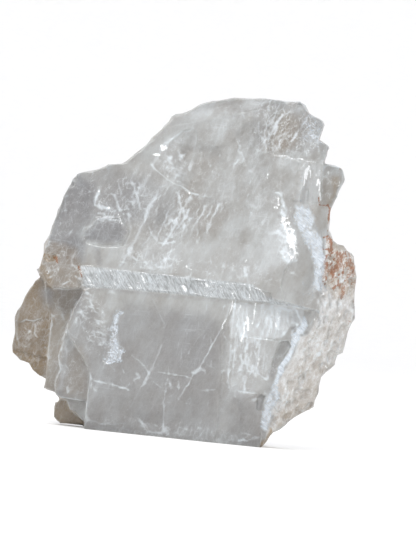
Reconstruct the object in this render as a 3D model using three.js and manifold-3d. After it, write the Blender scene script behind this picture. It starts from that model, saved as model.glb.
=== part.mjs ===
// A broken slab of selenite, the clear form of gypsum, standing on the flat break across its foot.
// It grew and split as one piece, so it is one mesh. Millimetres, +Z up, and the viewer looks along +Y.
// The crystal splits into sheets parallel to its broad face. Each sheet broke off along a line of its own,
// so the edges show a stack of leaves, and the front shows terraces at several depths.
import * as THREE from "three";
import { mergeVertices } from "three/addons/utils/BufferGeometryUtils.js";
import Module from "manifold-3d";

const wasm = await Module();
wasm.setup();

// Driving dimensions. A depth is measured forwards from the flat back of the slab.
const SLAB_DEPTH = 60;
const BACK_Y = 29.6;
const SHEET_THICKNESS = 6;
const EDGE_LOSS = 2.4;
const LEAST_LOSS = 0.15;
const GROOVE_WIDTH = 1.8;
const GROOVE_DEPTH = 1;
const FAR_AWAY = 500;
const BASE_DEPTH = 57;
const LOWER_TOP_DEPTH = 50;
const BAND_FOOT_Z = 121;
const BAND_TOP_Z = 137;
const UPPER_FOOT_DEPTH = 58;
const TOP_DEPTH = 28;
const TOP_Z = 297;
const LOBE_DEPTH = 15;
const LEFT_RECESS_DEPTH = 26;
const LEFT_PLATE_DEPTH = 41;
const FOOT_DEPTH = 19;
const BESIDE_FOOT_DEPTH = 34;
const BLOCK_DEPTH = 33;
const OUTER_BLOCK_DEPTH = 26;
const WINDOW_DEPTH = 2.5;
const BAND_LEFT_X = -94;
const BAND_RIGHT_X = 64;
const FLANK_FOOT_Z = 22;
const FLANK_TOP_Z = 180;
const HOLLOW_SPACING = 7;
const HOLLOW_SIZE = 4.5;

// The outline of the whole slab, seen from the front, as [x, z] points clockwise from the foot's left end.
// It runs a little below the base, which is then cut off flat at z 0.
const RIM = [
  [-76, -4], [-77, 1], [-97, 1], [-101, 3], [-103, 6], [-104, 15], [-103, 18.5], [-100, 20],
  [-99.5, 23], [-101, 25], [-104, 27], [-109, 28], [-114, 30], [-114.5, 33], [-113.5, 38], [-120, 40],
  [-125, 43.5], [-130, 48], [-137, 51], [-141, 52.5], [-144.5, 57], [-146, 62], [-145, 75], [-145.5, 87],
  [-144.2, 93], [-140.5, 101], [-138, 107], [-135, 115], [-131.5, 120], [-127, 124.5], [-131, 130.5],
  [-128, 132.5], [-127, 136], [-126, 145], [-126.5, 152], [-122, 162], [-120.5, 169], [-117.5, 184],
  [-113.5, 196], [-107.5, 211], [-105, 215], [-101, 217], [-91, 219], [-81, 224], [-79.5, 226],
  [-68, 227.5], [-64, 230.5], [-49, 245.5], [-45, 252], [-33, 267],
  [-30, 272.5], [-27, 275], [-20, 277.5], [-5, 287], [2, 290], [17, 293],
  [20, 296], [52, 297.5], [72, 296.5], [79, 297.5], [84, 295], [88, 288], [100, 282.5], [101.5, 279],
  [98.5, 266], [107, 263], [108.7, 260.5], [105.5, 251], [104.5, 247], [119, 245], [121.5, 242],
  [123.8, 234], [121, 228], [119.5, 220], [115, 209], [113.7, 205], [115, 198], [115.5, 190],
  [120, 180], [129, 179], [132.5, 174.5], [136, 173.5], [139, 171],
  [141, 162], [143.3, 153], [142.5, 140], [145.5, 117], [143, 110],
  [141, 103], [138.5, 87], [133.5, 84], [132, 75], [126, 69], [121.5, 63], [121, 50], [118, 38],
  [114, 34.5], [104, 29], [95, 20], [92, 15.5], [85, 12.5], [81, 5], [75, -4],
];

// The parts of the front that lie at different depths, as [x, z] outlines.
const UPPER_FRONT = [[-200, 100], [200, 100], [200, 330], [-200, 330]];
const BAND = [
  [-92, 116], [-80, 119.5], [-40, 121], [10, 122.5], [38, 120], [70, 123], [112, 120], [67, 127],
  [60, 132], [52, 137], [0, 137], [-60, 138], [-96, 138],
];
const LOWER_FRONT = [
  [-160, -20], [160, -20], [160, 119], [112, 121], [70, 124], [38, 121], [10, 123.5], [-40, 122],
  [-80, 120.5], [-87.5, 118], [-114, 115.5], [-160, 115.2],
];
const LEFT_RECESS = [
  [-160, 24], [-101, 24.5], [-104, 34], [-103, 40], [-101, 47], [-103, 57], [-103, 63], [-101, 70],
  [-100, 77], [-97, 93], [-95, 101], [-91, 109], [-87.5, 118], [-114, 115.5], [-118, 119], [-125, 127],
  [-160, 128],
];
const LEFT_LOBE = [
  [-160, 20], [-113.5, 20], [-113.5, 60], [-114, 91], [-118, 100], [-120, 108], [-121, 117], [-125, 124],
  [-160, 127],
];
const LOBE_MIDDLE = [
  [-160, 20], [-113.3, 20], [-113.3, 91], [-120.3, 89.5], [-126.5, 86.5], [-136.5, 86], [-140, 84],
  [-160, 82],
];
const LOBE_FOOT = [
  [-160, 20], [-113, 20], [-113, 55.5], [-120, 56.5], [-131, 58], [-143, 60.5], [-160, 61],
];
const LEFT_PLATE = [
  [-120, 23], [-75, 23], [-75, 42], [-78, 52], [-84, 62], [-90, 70], [-97, 78], [-120, 80],
];
const BESIDE_THE_FOOT = [[-120, -20], [-75, -20], [-75, 23.5], [-120, 23.5]];
const FOOT = [
  [-160, -20], [-75, -20], [-75.5, 5], [-80.5, 8.5], [-84.5, 12.5], [-89, 15], [-92.5, 22], [-100, 23.5],
  [-160, 26],
];
const LOWER_RIGHT_PLATE = [
  [38, -20], [100, -20], [106, 100], [111, 120], [70, 123], [38.5, 120.5], [38, 109], [32, 98],
  [36, 60],
];
const FLANK = [
  [113, 182], [113, 150], [112, 121], [110, 109], [106, 100], [99, 97], [96.5, 86], [93, 76],
  [89, 68], [86, 60], [83, 53], [88, 44], [81.5, 32], [83.5, 26], [80, 14], [76, -20],
  [200, -20], [200, 182],
];
const FLANK_EDGE = [
  [112, 121], [98, 115.5], [93, 105], [90, 96], [92, 88], [89, 80], [83, 68], [81, 56],
  [77, 47], [73, 36], [74.5, 31], [72.5, 21], [75, 15], [77, -20], [92, -20], [95, 40],
  [104, 80], [116, 110],
];
const DARK_WINDOWS = [
  [[78, 69], [82, 69], [86, 74], [89, 81], [92.5, 88], [90, 92], [83, 92], [81, 85], [78.5, 76]],
  [[69, 31], [74, 31], [73, 37], [75.5, 44], [70, 45], [68.5, 39]],
];
// The grooves of the striated faces, each from one [x, z] point to another.
const PLATE_GROOVES = [
  [[45, 110], [43, 56]], [[50, 96], [50, 84]], [[54, 111], [53, 98]], [[58.5, 122], [57.5, 99]],
  [[66.5, 101], [65.5, 60]], [[74, 112], [73, 97]], [[79.5, 108], [79, 96]], [[50, 92.5], [82, 92]],
  [[52, 45.5], [76, 46]],
];
const BLOCK_GROOVES = [[[94, 247], [93, 212]], [[98, 246], [97, 214]], [[101.5, 245], [100, 222]]];
const RIGHT_FOLD = [
  [70, 212], [74, 195], [79, 186], [86, 176], [88.5, 166], [84, 160], [80, 150], [78, 140],
  [84, 121], [150, 119], [150, 212],
];
const RIGHT_BEVEL = [
  [84, 212], [83, 198], [87, 189], [96, 175], [102, 165], [106, 156], [109, 138], [112, 121],
  [160, 119], [160, 212],
];
const BLOCKS = [[86, 210], [160, 210], [160, 248], [104, 248], [92, 248.5], [88, 237], [88, 228]];
const OUTER_BLOCK = [[104, 209], [170, 208], [170, 249], [104, 249]];
const TOP_RIGHT = [
  [56, 250], [66, 248], [80, 246.5], [92, 246.5], [180, 246], [180, 320], [50, 320], [53, 270],
];
const SCALLOP = [
  [-40, 228], [-30, 219], [-22, 215], [-13, 213], [-5, 209], [2, 216], [0, 240], [-7, 262],
  [-12, 264], [-20, 260], [-28, 250], [-36, 240],
];
const GREY_POCKET = [
  [-90, 160], [-91, 166], [-85, 172], [-82, 178], [-65, 180.5], [-58, 174], [-55, 168], [-60, 160],
  [-75, 157],
];
const FROSTED_PATCH = [
  [-60, 103], [-52, 101], [-54, 90], [-53, 76], [-47, 70], [-51, 60], [-65, 56], [-67, 70],
  [-62, 80],
];
const BLOCK_NOTCH = [[-135, 139], [-115, 139], [-115, 145], [-135, 145]];

// The terraces of the back, which is otherwise one flat cleavage face.
const BACK_TOP = [
  [-160, 232], [-62, 222], [-44, 238], [-28, 230], [-14, 246], [22, 250], [34, 272], [52, 270],
  [66, 252], [92, 246], [160, 250], [160, 320], [-160, 320],
];
const BACK_LEFT = [
  [-160, 36], [-120, 52], [-122, 76], [-104, 92], [-108, 118], [-96, 132], [-100, 156], [-84, 176],
  [-90, 204], [-160, 226],
];
const BACK_RIGHT = [
  [160, -20], [62, -20], [66, 22], [84, 44], [76, 72], [98, 96], [94, 128], [106, 150],
  [100, 184], [108, 212], [160, 220],
];
const BACK_MIDDLE = [
  [-30, 40], [-12, 96], [26, 112], [44, 166], [28, 204], [-8, 196], [-22, 150], [-52, 118],
  [-60, 62],
];
const BACK_FOOT = [
  [-160, -20], [-104, -20], [-86, 24], [-58, 30], [-46, 12], [8, 20], [30, 44], [52, 40],
  [60, -20], [160, -20], [160, -30], [-160, -30],
];
const BACK_UPPER_LEFT = [
  [-104, 230], [-72, 196], [-64, 160], [-40, 152], [-30, 186], [-16, 204], [-20, 232], [-60, 250],
];

// The faces that lean, each a plane through three [x, z, depth] points.
const FACES = {
  upper: [[0, BAND_TOP_Z, UPPER_FOOT_DEPTH], [9, BAND_TOP_Z, UPPER_FOOT_DEPTH], [0, TOP_Z, TOP_DEPTH]],
  upperLeft: [[-62, BAND_TOP_Z, 58], [-66, TOP_Z, 28], [-126, BAND_TOP_Z, 49]],
  farLeft: [[-80, BAND_TOP_Z, 57], [-88, TOP_Z, 27], [-126, BAND_TOP_Z, 41]],
  topBevel: [[-20, 278, 22], [60, 297.5, 22], [20, 279, 31]],
  band: [[0, BAND_FOOT_Z, 50], [9, BAND_FOOT_Z, 50], [0, BAND_TOP_Z, 58.5]],
  lower: [[0, 0, BASE_DEPTH], [9, 0, BASE_DEPTH], [0, BAND_FOOT_Z, LOWER_TOP_DEPTH]],
  lobeMiddle: [[-140, 30, 12], [-114, 30, 13.5], [-140, 84, 12.5]],
  lobeFoot: [[-140, 50, 9.5], [-114, 50, 11], [-140, 60, 10.5]],
  lowerRight: [[38, 0, 55.5], [38, 121, 48.5], [90, 60, 46]],
  flankEdge: [[76, 20, 49], [93, 105, 47], [90, 60, 45]],
  lowerFlank: [[80, 20, 46], [108, 103, 43], [143, 100, 13]],
  upperFlank: [[112, 121, 42], [113, 170, 36], [144, 140, 13]],
  fold: [[74, 195, 47], [80, 145, 54], [112, 160, 43]],
  bevel: [[84, 200, 45], [108, 140, 47], [112, 175, 34]],
  topRight: [[60, 250, 32.5], [100, 250, 30], [70, 297, 24]],
  scallop: [[-40, 228, 41], [0, 238, 38.5], [-12, 262, 33]],
  greyPocket: [[-90, 166, 44], [-56, 168, 49], [-72, 180, 43]],
  frostedPatch: [[-67, 70, 51.5], [-47, 70, 53], [-56, 103, 50]],
};
const BACK_TERRACES = [
  [BACK_TOP, [[0, 250, 3], [60, 297, 8], [-60, 240, 5]]],
  [BACK_LEFT, [[-100, 100, 3], [-144, 100, 6], [-110, 200, 3.5]]],
  [BACK_RIGHT, [[80, 40, 2.5], [140, 100, 8], [100, 190, 3]]],
  [BACK_MIDDLE, [[-20, 60, 1], [30, 150, 1.8], [-20, 160, 2.2]]],
  [BACK_FOOT, [[-90, 0, 2.4], [50, 0, 4], [-50, 25, 1.4]]],
  [BACK_UPPER_LEFT, [[-70, 200, 1.6], [-30, 190, 2.6], [-60, 240, 2.2]]],
];

// Lines of [x, z, depth] points where splinters are missing, with the splinters' spacing and size.
const KNOCKED_EDGES = [
  [[[-60, 234, 40], [-30, 272, 33], [2, 290, 28], [50, 297, 24], [84, 295, 25], [101, 280, 27]], 12, 3.6],
  [[[-126, 140, 42], [-126, 152, 41], [-113, 196, 36], [-104, 216, 35], [-80, 225, 40]], 12, 3.6],
  [[[123, 236, 25], [114, 206, 26], [118, 182, 25], [136, 173, 20], [143, 153, 15], [145, 117, 13]], 10, 4],
  [[[139, 88, 14], [124, 68, 16], [120, 44, 18], [96, 21, 32]], 9, 4],
];
const SEEDS = {
  sheets: 11, leftPlate: 21, leftRecess: 22, lobe: 23, besideFoot: 24, foot: 25, blocks: 31, outerBlock: 32,
  edges: 41, ledge: 51, back: 61, flank: 71,
};

// Repeatable random numbers between 0 and 1.
function randomSource(seed) {
  let state = seed;
  return () => {
    state = (state + 0x6d2b79f5) | 0;
    let mixed = Math.imul(state ^ (state >>> 15), 1 | state);
    mixed = (mixed + Math.imul(mixed ^ (mixed >>> 7), 61 | mixed)) ^ mixed;
    return ((mixed ^ (mixed >>> 14)) >>> 0) / 4294967296;
  };
}

function solidFrom(geometry) {
  const bare = geometry.index ? geometry.toNonIndexed() : geometry.clone();
  for (const name of Object.keys(bare.attributes)) {
    if (name !== "position") bare.deleteAttribute(name);
  }
  const merged = mergeVertices(bare, 1e-3);
  const vertProperties = new Float32Array(merged.attributes.position.array);
  const triVerts = new Uint32Array(merged.index.array);
  return new wasm.Manifold(new wasm.Mesh({ numProp: 3, vertProperties, triVerts }));
}

// An outline in the plane of the slab, carried from one depth to another. A depth is a number, or a
// function of x and z for a sloping end.
function prism(outline, from, to) {
  const shape = new THREE.Shape(outline.map(([x, z]) => new THREE.Vector2(x, z)));
  const geometry = new THREE.ExtrudeGeometry(shape, { depth: 1, bevelEnabled: false });
  const place = geometry.attributes.position;
  for (let i = 0; i < place.count; i++) {
    const x = place.getX(i);
    const z = place.getY(i);
    const end = place.getZ(i) < 0.5 ? from : to;
    const depth = typeof end === "function" ? end(x, z) : end;
    place.setXYZ(i, x, BACK_Y - depth, z);
  }
  return solidFrom(geometry);
}

// The depth of a plane through three points, each an [x, z, depth].
function planeThrough([x0, z0, d0], [x1, z1, d1], [x2, z2, d2]) {
  const area = (x1 - x0) * (z2 - z0) - (x2 - x0) * (z1 - z0);
  const acrossX = ((d1 - d0) * (z2 - z0) - (d2 - d0) * (z1 - z0)) / area;
  const acrossZ = ((x1 - x0) * (d2 - d0) - (x2 - x0) * (d1 - d0)) / area;
  return (x, z) => d0 + acrossX * (x - x0) + acrossZ * (z - z0);
}

const cutFront = (body, region, floor) => body.subtract(prism(region, floor, FAR_AWAY));
const cutBack = (body, region, ceiling) => body.subtract(prism(region, -FAR_AWAY, ceiling));

// The rim of one sheet: a point above the base is lost now and then, and the others move inwards at random.
function brokenRim(loss, random) {
  const kept = RIM.filter(([, z], i) => z < 2 || i % 3 !== 0 || random() > 0.35);
  return kept.map(([x, z], i) => {
    const [beforeX, beforeZ] = kept[(i + kept.length - 1) % kept.length];
    const [afterX, afterZ] = kept[(i + 1) % kept.length];
    const length = Math.hypot(afterX - beforeX, afterZ - beforeZ);
    const shift = LEAST_LOSS + loss * random() ** 2;
    return [x + (shift * (afterZ - beforeZ)) / length, z - (shift * (afterX - beforeX)) / length];
  });
}

// The whole slab as a stack of sheets, from the back to the front.
function stackOfSheets() {
  const random = randomSource(SEEDS.sheets);
  let whole = null;
  let depth = 0;
  while (depth < SLAB_DEPTH - 1) {
    const next = Math.min(SLAB_DEPTH, depth + SHEET_THICKNESS * (0.55 + 0.9 * random()));
    const sheet = prism(brokenRim(depth === 0 ? 2 * EDGE_LOSS : EDGE_LOSS, random), depth, next + 0.2);
    whole = whole ? whole.add(sheet) : sheet;
    depth = next;
  }
  return whole.intersect(prism(RIM, -1, SLAB_DEPTH + 1));
}

// Steps down from the front to a floor, sheet by sheet. Each sheet's edge stands back from the one below
// by the lean, an [x, z] distance, and the edges are broken at random.
function terrace(body, region, floor, seed, lean = [0, 0], sheets = 3, roughness = 0.8) {
  const random = randomSource(seed);
  let result = body;
  for (let sheet = 0; sheet < sheets; sheet++) {
    const share = sheet / sheets;
    const depth = floor + (SLAB_DEPTH - floor) * share;
    const edge = region.map(([x, z]) => [
      x + lean[0] * share + roughness * (random() * 2 - 1),
      z + lean[1] * share + roughness * (random() * 2 - 1),
    ]);
    result = cutFront(result, edge, depth);
  }
  return result;
}

// A splinter with flat faces, to knock out of an edge.
function splinter(x, z, depth, size, random) {
  const round = new THREE.IcosahedronGeometry(1, 0);
  const geometry = mergeVertices(round.deleteAttribute("normal").deleteAttribute("uv"));
  const place = geometry.attributes.position;
  for (let i = 0; i < place.count; i++) {
    const reach = size * (0.6 + 0.6 * random());
    place.setXYZ(i, reach * place.getX(i), reach * place.getY(i) * 0.8, reach * place.getZ(i) * 1.3);
  }
  geometry.rotateY(random() * Math.PI);
  geometry.translate(x, BACK_Y - depth, z);
  return solidFrom(geometry);
}

// A narrow groove with a flat floor, a little below a face.
function groove(body, face, [x0, z0], [x1, z1]) {
  const length = Math.hypot(x1 - x0, z1 - z0);
  const side = [(GROOVE_WIDTH / 2 / length) * (z1 - z0), (-GROOVE_WIDTH / 2 / length) * (x1 - x0)];
  const outline = [
    [x0 - side[0], z0 - side[1]], [x0 + side[0], z0 + side[1]],
    [x1 + side[0], z1 + side[1]], [x1 - side[0], z1 - side[1]],
  ];
  return cutFront(body, outline, (x, z) => face(x, z) - GROOVE_DEPTH);
}

// Knocks splinters out along a line of [x, z, depth] points.
function knockedEdge(body, line, spacing, size, seed) {
  const random = randomSource(seed);
  let result = body;
  for (let i = 1; i < line.length; i++) {
    const [x0, z0, d0] = line[i - 1];
    const [x1, z1, d1] = line[i];
    const count = Math.max(1, Math.round(Math.hypot(x1 - x0, z1 - z0) / spacing));
    for (let k = 0; k < count; k++) {
      const share = (k + random()) / count;
      const x = x0 + (x1 - x0) * share;
      const z = z0 + (z1 - z0) * share;
      const depth = d0 + (d1 - d0) * share;
      result = result.subtract(splinter(x, z, depth, size * (0.6 + 0.8 * random()), random));
    }
  }
  return result;
}

// The main faces, as the depth at each x and z.
const upperFace = planeThrough(...FACES.upper);
const lowerRightFace = planeThrough(...FACES.lowerRight);
const lowerFlankFace = planeThrough(...FACES.lowerFlank);
const upperFlankFace = planeThrough(...FACES.upperFlank);

// The two broad faces, the left side of the upper one, which leans back, and its bevel at the top.
function broadFaces(body) {
  let result = cutFront(body, UPPER_FRONT, upperFace);
  for (const face of [FACES.upperLeft, FACES.farLeft, FACES.topBevel]) {
    result = cutFront(result, UPPER_FRONT, planeThrough(...face));
  }
  return cutFront(result, LOWER_FRONT, planeThrough(...FACES.lower));
}

// The splintered ledge between the two broad faces, broken in short facets that each tilt their own way.
function ledge(body) {
  const random = randomSource(SEEDS.ledge);
  let result = cutFront(body, BAND, planeThrough(...FACES.band));
  let x = BAND_LEFT_X;
  while (x < BAND_RIGHT_X) {
    const next = x + 6 + 9 * random();
    const foot = BAND_FOOT_Z + 2 + 5 * random();
    const top = BAND_TOP_Z - 7 * random();
    const slant = 4 * (random() - 0.5);
    const facet = [[x, foot], [next, foot + 2 * random()], [next + slant, top], [x + slant, top + random()]];
    const depth = LOWER_TOP_DEPTH - 1.4 + 3 * random();
    const rise = 0.36 + 0.3 * random();
    const tilt = 0.36 * (random() - 0.5);
    const left = x;
    result = cutFront(result, facet, (px, pz) => depth + rise * (pz - BAND_FOOT_Z) + tilt * (px - left));
    x = next - 1;
  }
  return result;
}

// The terraces down to the left: the near plate, the recess beside it, the lobe furthest back, and the foot.
function leftTerraces(body) {
  let result = terrace(body, LEFT_PLATE, LEFT_PLATE_DEPTH, SEEDS.leftPlate, [-2, 1], 2);
  result = terrace(result, LEFT_RECESS, LEFT_RECESS_DEPTH, SEEDS.leftRecess, [-3, 0], 4);
  result = terrace(result, LEFT_LOBE, LOBE_DEPTH, SEEDS.lobe, [-3, 0], 5);
  result = cutFront(result, LOBE_MIDDLE, planeThrough(...FACES.lobeMiddle));
  result = cutFront(result, LOBE_FOOT, planeThrough(...FACES.lobeFoot));
  result = terrace(result, BESIDE_THE_FOOT, BESIDE_FOOT_DEPTH, SEEDS.besideFoot, [0, -1], 2);
  result = terrace(result, FOOT, FOOT_DEPTH, SEEDS.foot, [-4, 0], 4);
  return cutFront(result, BLOCK_NOTCH, LEFT_PLATE_DEPTH);
}

// The right side of the lower half: a striated plate, the bruised edge beside it, and the flank.
function lowerRight(body) {
  let result = cutFront(body, LOWER_RIGHT_PLATE, lowerRightFace);
  result = cutFront(result, FLANK_EDGE, planeThrough(...FACES.flankEdge));
  result = cutFront(result, FLANK, lowerFlankFace);
  result = cutFront(result, FLANK, upperFlankFace);
  for (const outline of DARK_WINDOWS) {
    result = cutFront(result, outline, (x, z) => lowerRightFace(x, z) - WINDOW_DEPTH);
  }
  return result;
}

// The right side of the upper half: a fold, a smooth bevel, and blocks that step back to the top corner.
function upperRight(body) {
  let result = cutFront(body, RIGHT_FOLD, planeThrough(...FACES.fold));
  result = cutFront(result, RIGHT_BEVEL, planeThrough(...FACES.bevel));
  result = terrace(result, BLOCKS, BLOCK_DEPTH, SEEDS.blocks, [1, 0], 1);
  result = terrace(result, OUTER_BLOCK, OUTER_BLOCK_DEPTH, SEEDS.outerBlock, [0, 0], 1);
  return cutFront(result, TOP_RIGHT, planeThrough(...FACES.topRight));
}

// Marks within the broad faces: a shallow scar, a pocket behind a broken window, a bruise and grooves.
function markedFaces(body) {
  let result = cutFront(body, SCALLOP, planeThrough(...FACES.scallop));
  result = cutFront(result, GREY_POCKET, planeThrough(...FACES.greyPocket));
  result = cutFront(result, FROSTED_PATCH, planeThrough(...FACES.frostedPatch));
  for (const [from, to] of PLATE_GROOVES) result = groove(result, lowerRightFace, from, to);
  for (const [from, to] of BLOCK_GROOVES) result = groove(result, () => BLOCK_DEPTH, from, to);
  return result;
}

// Each terrace of the back goes down in two steps, with two broken edges close together.
function backFace(body) {
  const random = randomSource(SEEDS.back);
  let result = body;
  for (const [outline, face] of BACK_TERRACES) {
    const ceiling = planeThrough(...face);
    const edge = outline.map(([x, z]) => [x + 3 * (random() - 0.5), z + 3 * (random() - 0.5)]);
    result = cutBack(result, outline, ceiling);
    result = cutBack(result, edge, (x, z) => ceiling(x, z) / 2);
  }
  return result;
}

function brokenEdges(body) {
  return KNOCKED_EDGES.reduce((result, [line, spacing, size], i) =>
    knockedEdge(result, line, spacing, size, SEEDS.edges + i), body);
}

// The flank broke across the sheets, so it is all small hollows.
function roughFlank(body) {
  const random = randomSource(SEEDS.flank);
  let result = body;
  for (let z = FLANK_FOOT_Z; z < FLANK_TOP_Z; z += HOLLOW_SPACING) {
    const inner = z < BAND_FOOT_Z ? 84 + 0.26 * z : 116;
    const outer = z < BAND_FOOT_Z ? 104 + 0.32 * z : 142;
    for (let x = inner; x < outer; x += HOLLOW_SPACING + 1) {
      const size = HOLLOW_SIZE + 3.5 * random();
      const px = x + 5 * (random() - 0.5);
      const pz = z + 5 * (random() - 0.5);
      const surface = Math.min(lowerFlankFace(px, pz), upperFlankFace(px, pz));
      result = result.subtract(splinter(px, pz, surface + size * (0.35 + 0.4 * random()), size, random));
    }
  }
  return result;
}

// The flat break that the slab stands on.
function standing(body) {
  const block = new THREE.BoxGeometry(600, 400, 100);
  block.translate(0, 0, -50);
  return body.subtract(solidFrom(block));
}

function meshOf(solid, name, material) {
  const { vertProperties, triVerts } = solid.getMesh();
  const geometry = new THREE.BufferGeometry();
  geometry.setAttribute("position", new THREE.BufferAttribute(vertProperties, 3));
  geometry.setIndex(new THREE.BufferAttribute(triVerts, 1));
  geometry.computeVertexNormals();
  const mesh = new THREE.Mesh(geometry, material);
  mesh.name = name;
  return mesh;
}

const selenite = new THREE.MeshStandardMaterial({
  color: 0xc4bfb8, roughness: 0.2, metalness: 0, transparent: true, opacity: 0.9,
});

const shaping = [
  broadFaces, ledge, leftTerraces, lowerRight, upperRight, markedFaces, backFace, brokenEdges, roughFlank,
  standing,
];
const slab = shaping.reduce((body, shape) => shape(body), stackOfSheets());

const model = new THREE.Group();
model.add(meshOf(slab, "selenite_slab", selenite));

export default model;
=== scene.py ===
# %% [markdown]
# A slab of selenite, which is gypsum in its clear form. The real piece is as wide as a dinner plate and as
# thick as a brick. It splits into sheets like a book, so it is smooth in front, stepped at the left,
# and torn and sugary along the right.

# %% Load the fixed frame
import math

import bpy
import numpy as np
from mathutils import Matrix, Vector


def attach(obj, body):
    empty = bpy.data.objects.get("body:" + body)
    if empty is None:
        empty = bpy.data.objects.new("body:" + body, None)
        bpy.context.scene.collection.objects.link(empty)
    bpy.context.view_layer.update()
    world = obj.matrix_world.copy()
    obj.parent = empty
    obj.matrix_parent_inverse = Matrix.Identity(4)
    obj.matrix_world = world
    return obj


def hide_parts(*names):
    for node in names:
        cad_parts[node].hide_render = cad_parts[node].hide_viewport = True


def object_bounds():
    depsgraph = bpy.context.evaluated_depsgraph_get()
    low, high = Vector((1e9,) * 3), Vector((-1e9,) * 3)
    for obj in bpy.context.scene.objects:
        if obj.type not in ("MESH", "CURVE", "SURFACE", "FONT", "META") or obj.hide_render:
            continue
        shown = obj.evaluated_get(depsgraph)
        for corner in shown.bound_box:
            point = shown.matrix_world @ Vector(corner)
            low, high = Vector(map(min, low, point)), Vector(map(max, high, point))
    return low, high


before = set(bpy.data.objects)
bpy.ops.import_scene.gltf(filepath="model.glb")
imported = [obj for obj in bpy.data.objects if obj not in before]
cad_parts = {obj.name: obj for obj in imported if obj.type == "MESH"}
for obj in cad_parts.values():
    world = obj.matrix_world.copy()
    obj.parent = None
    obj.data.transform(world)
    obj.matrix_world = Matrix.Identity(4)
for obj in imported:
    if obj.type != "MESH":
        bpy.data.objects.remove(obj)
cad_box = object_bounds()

MM = 0.001
NODE = "selenite_slab"
low, high = (np.array(corner) / MM for corner in cad_box)
print("the slab measures", (high - low).round(1), "mm")

# %% [markdown]
# The camera comes first. The slab was photographed a little turned, with its right end low. Here the slab
# stands level and the camera is rolled by the same angle instead.

# %% Camera
ROLL_DEGREES = 6.1
FRAME_HEIGHT = 473.0
FRAME_CENTRE = (16.1, 138.9)
CAMERA_DISTANCE = 4000.0
FRONT_PLANE_Y = -8.0

camera = bpy.data.objects.new("camera", bpy.data.cameras.new("camera"))
bpy.context.scene.collection.objects.link(camera)
bpy.context.scene.camera = camera
camera.data.sensor_width = 36.0
camera.data.lens = camera.data.sensor_width * CAMERA_DISTANCE / FRAME_HEIGHT
camera.location = Vector((FRAME_CENTRE[0], FRONT_PLANE_Y - CAMERA_DISTANCE, FRAME_CENTRE[1])) * MM
camera.rotation_euler = (math.radians(90), math.radians(-ROLL_DEGREES), 0)
print("lens", round(camera.data.lens, 1), "mm")


# %% [markdown]
# A material is a graph of nodes. One small function adds a node, sets its values and links its inputs, so
# that each material below reads as a list of what it is made of. Colours are written as the hex values of a
# paint chart and turned to the linear values that Blender works in.

# %% Helpers for colours and nodes
def linear(hex_colour):
    channels = [int(hex_colour[i:i + 2], 16) / 255 for i in (1, 3, 5)]
    return tuple(c / 12.92 if c <= 0.04045 else ((c + 0.055) / 1.055) ** 2.4 for c in channels) + (1.0,)


def add(tree, kind, inputs=None, **settings):
    """Adds a node. An input is a value, or the output socket of another node."""
    node = tree.nodes.new("ShaderNode" + kind)
    for name, value in settings.items():
        setattr(node, name, value)
    for name, value in (inputs or {}).items():
        if isinstance(value, bpy.types.NodeSocket):
            tree.links.new(value, node.inputs[name])
        else:
            node.inputs[name].default_value = value
    return node


def new_material(name):
    material = bpy.data.materials.new(name)
    material.use_nodes = True
    material.node_tree.nodes.clear()
    return material, material.node_tree


print("#808080 in linear light is", round(linear("#808080")[0], 3))

# %% [markdown]
# The stage is a round photographer's cove: a floor that bends up into a wall all the way round, so that no
# horizon shows from any side. It is matt and almost white, like the paper of a product photograph.

# %% Cove of matt white paper
COVE_RADIUS = 6800.0
COVE_BEND = 1600.0
COVE_HEIGHT = 4200.0
COVE_STEPS = 96
BEND_STEPS = 20
FLOOR_RADIUS = 600.0

bend = [(COVE_RADIUS - COVE_BEND + COVE_BEND * math.sin(a), COVE_BEND - COVE_BEND * math.cos(a))
        for a in np.linspace(0, math.pi / 2, BEND_STEPS)]
profile = [(0.0, 0.0), (FLOOR_RADIUS, 0.0)] + bend + [(COVE_RADIUS, COVE_HEIGHT)]
rings = [[(r * math.cos(t), r * math.sin(t), z) for t in np.linspace(0, 2 * math.pi, COVE_STEPS, False)]
         for r, z in profile[1:]]
corners = [(0.0, 0.0, 0.0)] + [corner for ring in rings for corner in ring]
faces = [(0, 1 + i, 1 + (i + 1) % COVE_STEPS) for i in range(COVE_STEPS)]
for ring in range(len(rings) - 1):
    a, b = 1 + ring * COVE_STEPS, 1 + (ring + 1) * COVE_STEPS
    faces += [(a + i, b + i, b + (i + 1) % COVE_STEPS, a + (i + 1) % COVE_STEPS) for i in range(COVE_STEPS)]
cove_mesh = bpy.data.meshes.new("cove")
cove_mesh.from_pydata((np.array(corners) * MM).tolist(), [], faces)
cove_mesh.shade_smooth()
cove = bpy.data.objects.new("cove", cove_mesh)
bpy.context.scene.collection.objects.link(cove)

paper, tree = new_material("matt_white_paper")
fibre = add(tree, "TexNoise", {"Scale": 900.0, "Detail": 3.0})
tone = add(tree, "MixRGB", {
    "Fac": fibre.outputs["Fac"], "Color1": linear("#F6F6F5"), "Color2": linear("#FAFAF9"),
})
surface = add(tree, "BsdfPrincipled", {
    "Base Color": tone.outputs["Color"], "Roughness": 0.9, "Specular IOR Level": 0.1,
})
add(tree, "OutputMaterial", {"Surface": surface.outputs["BSDF"]})
cove_mesh.materials.append(paper)
print("cove with", len(cove_mesh.polygons), "faces")

# %% [markdown]
# Soft daylight fills the cove from the open sky above. A broad window light at the upper left models the
# steps, and a smaller one from the right makes the broken edges glint.

# %% Lights
SKY_STRENGTH = 1.16
LIT_POINT = Vector((0, 0, 140))

world = bpy.data.worlds.new("sky")
world.use_nodes = True
world.node_tree.nodes["Background"].inputs["Color"].default_value = linear("#FBFBFE")
world.node_tree.nodes["Background"].inputs["Strength"].default_value = SKY_STRENGTH
bpy.context.scene.world = world
bpy.context.scene.view_settings.view_transform = "Standard"


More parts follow.
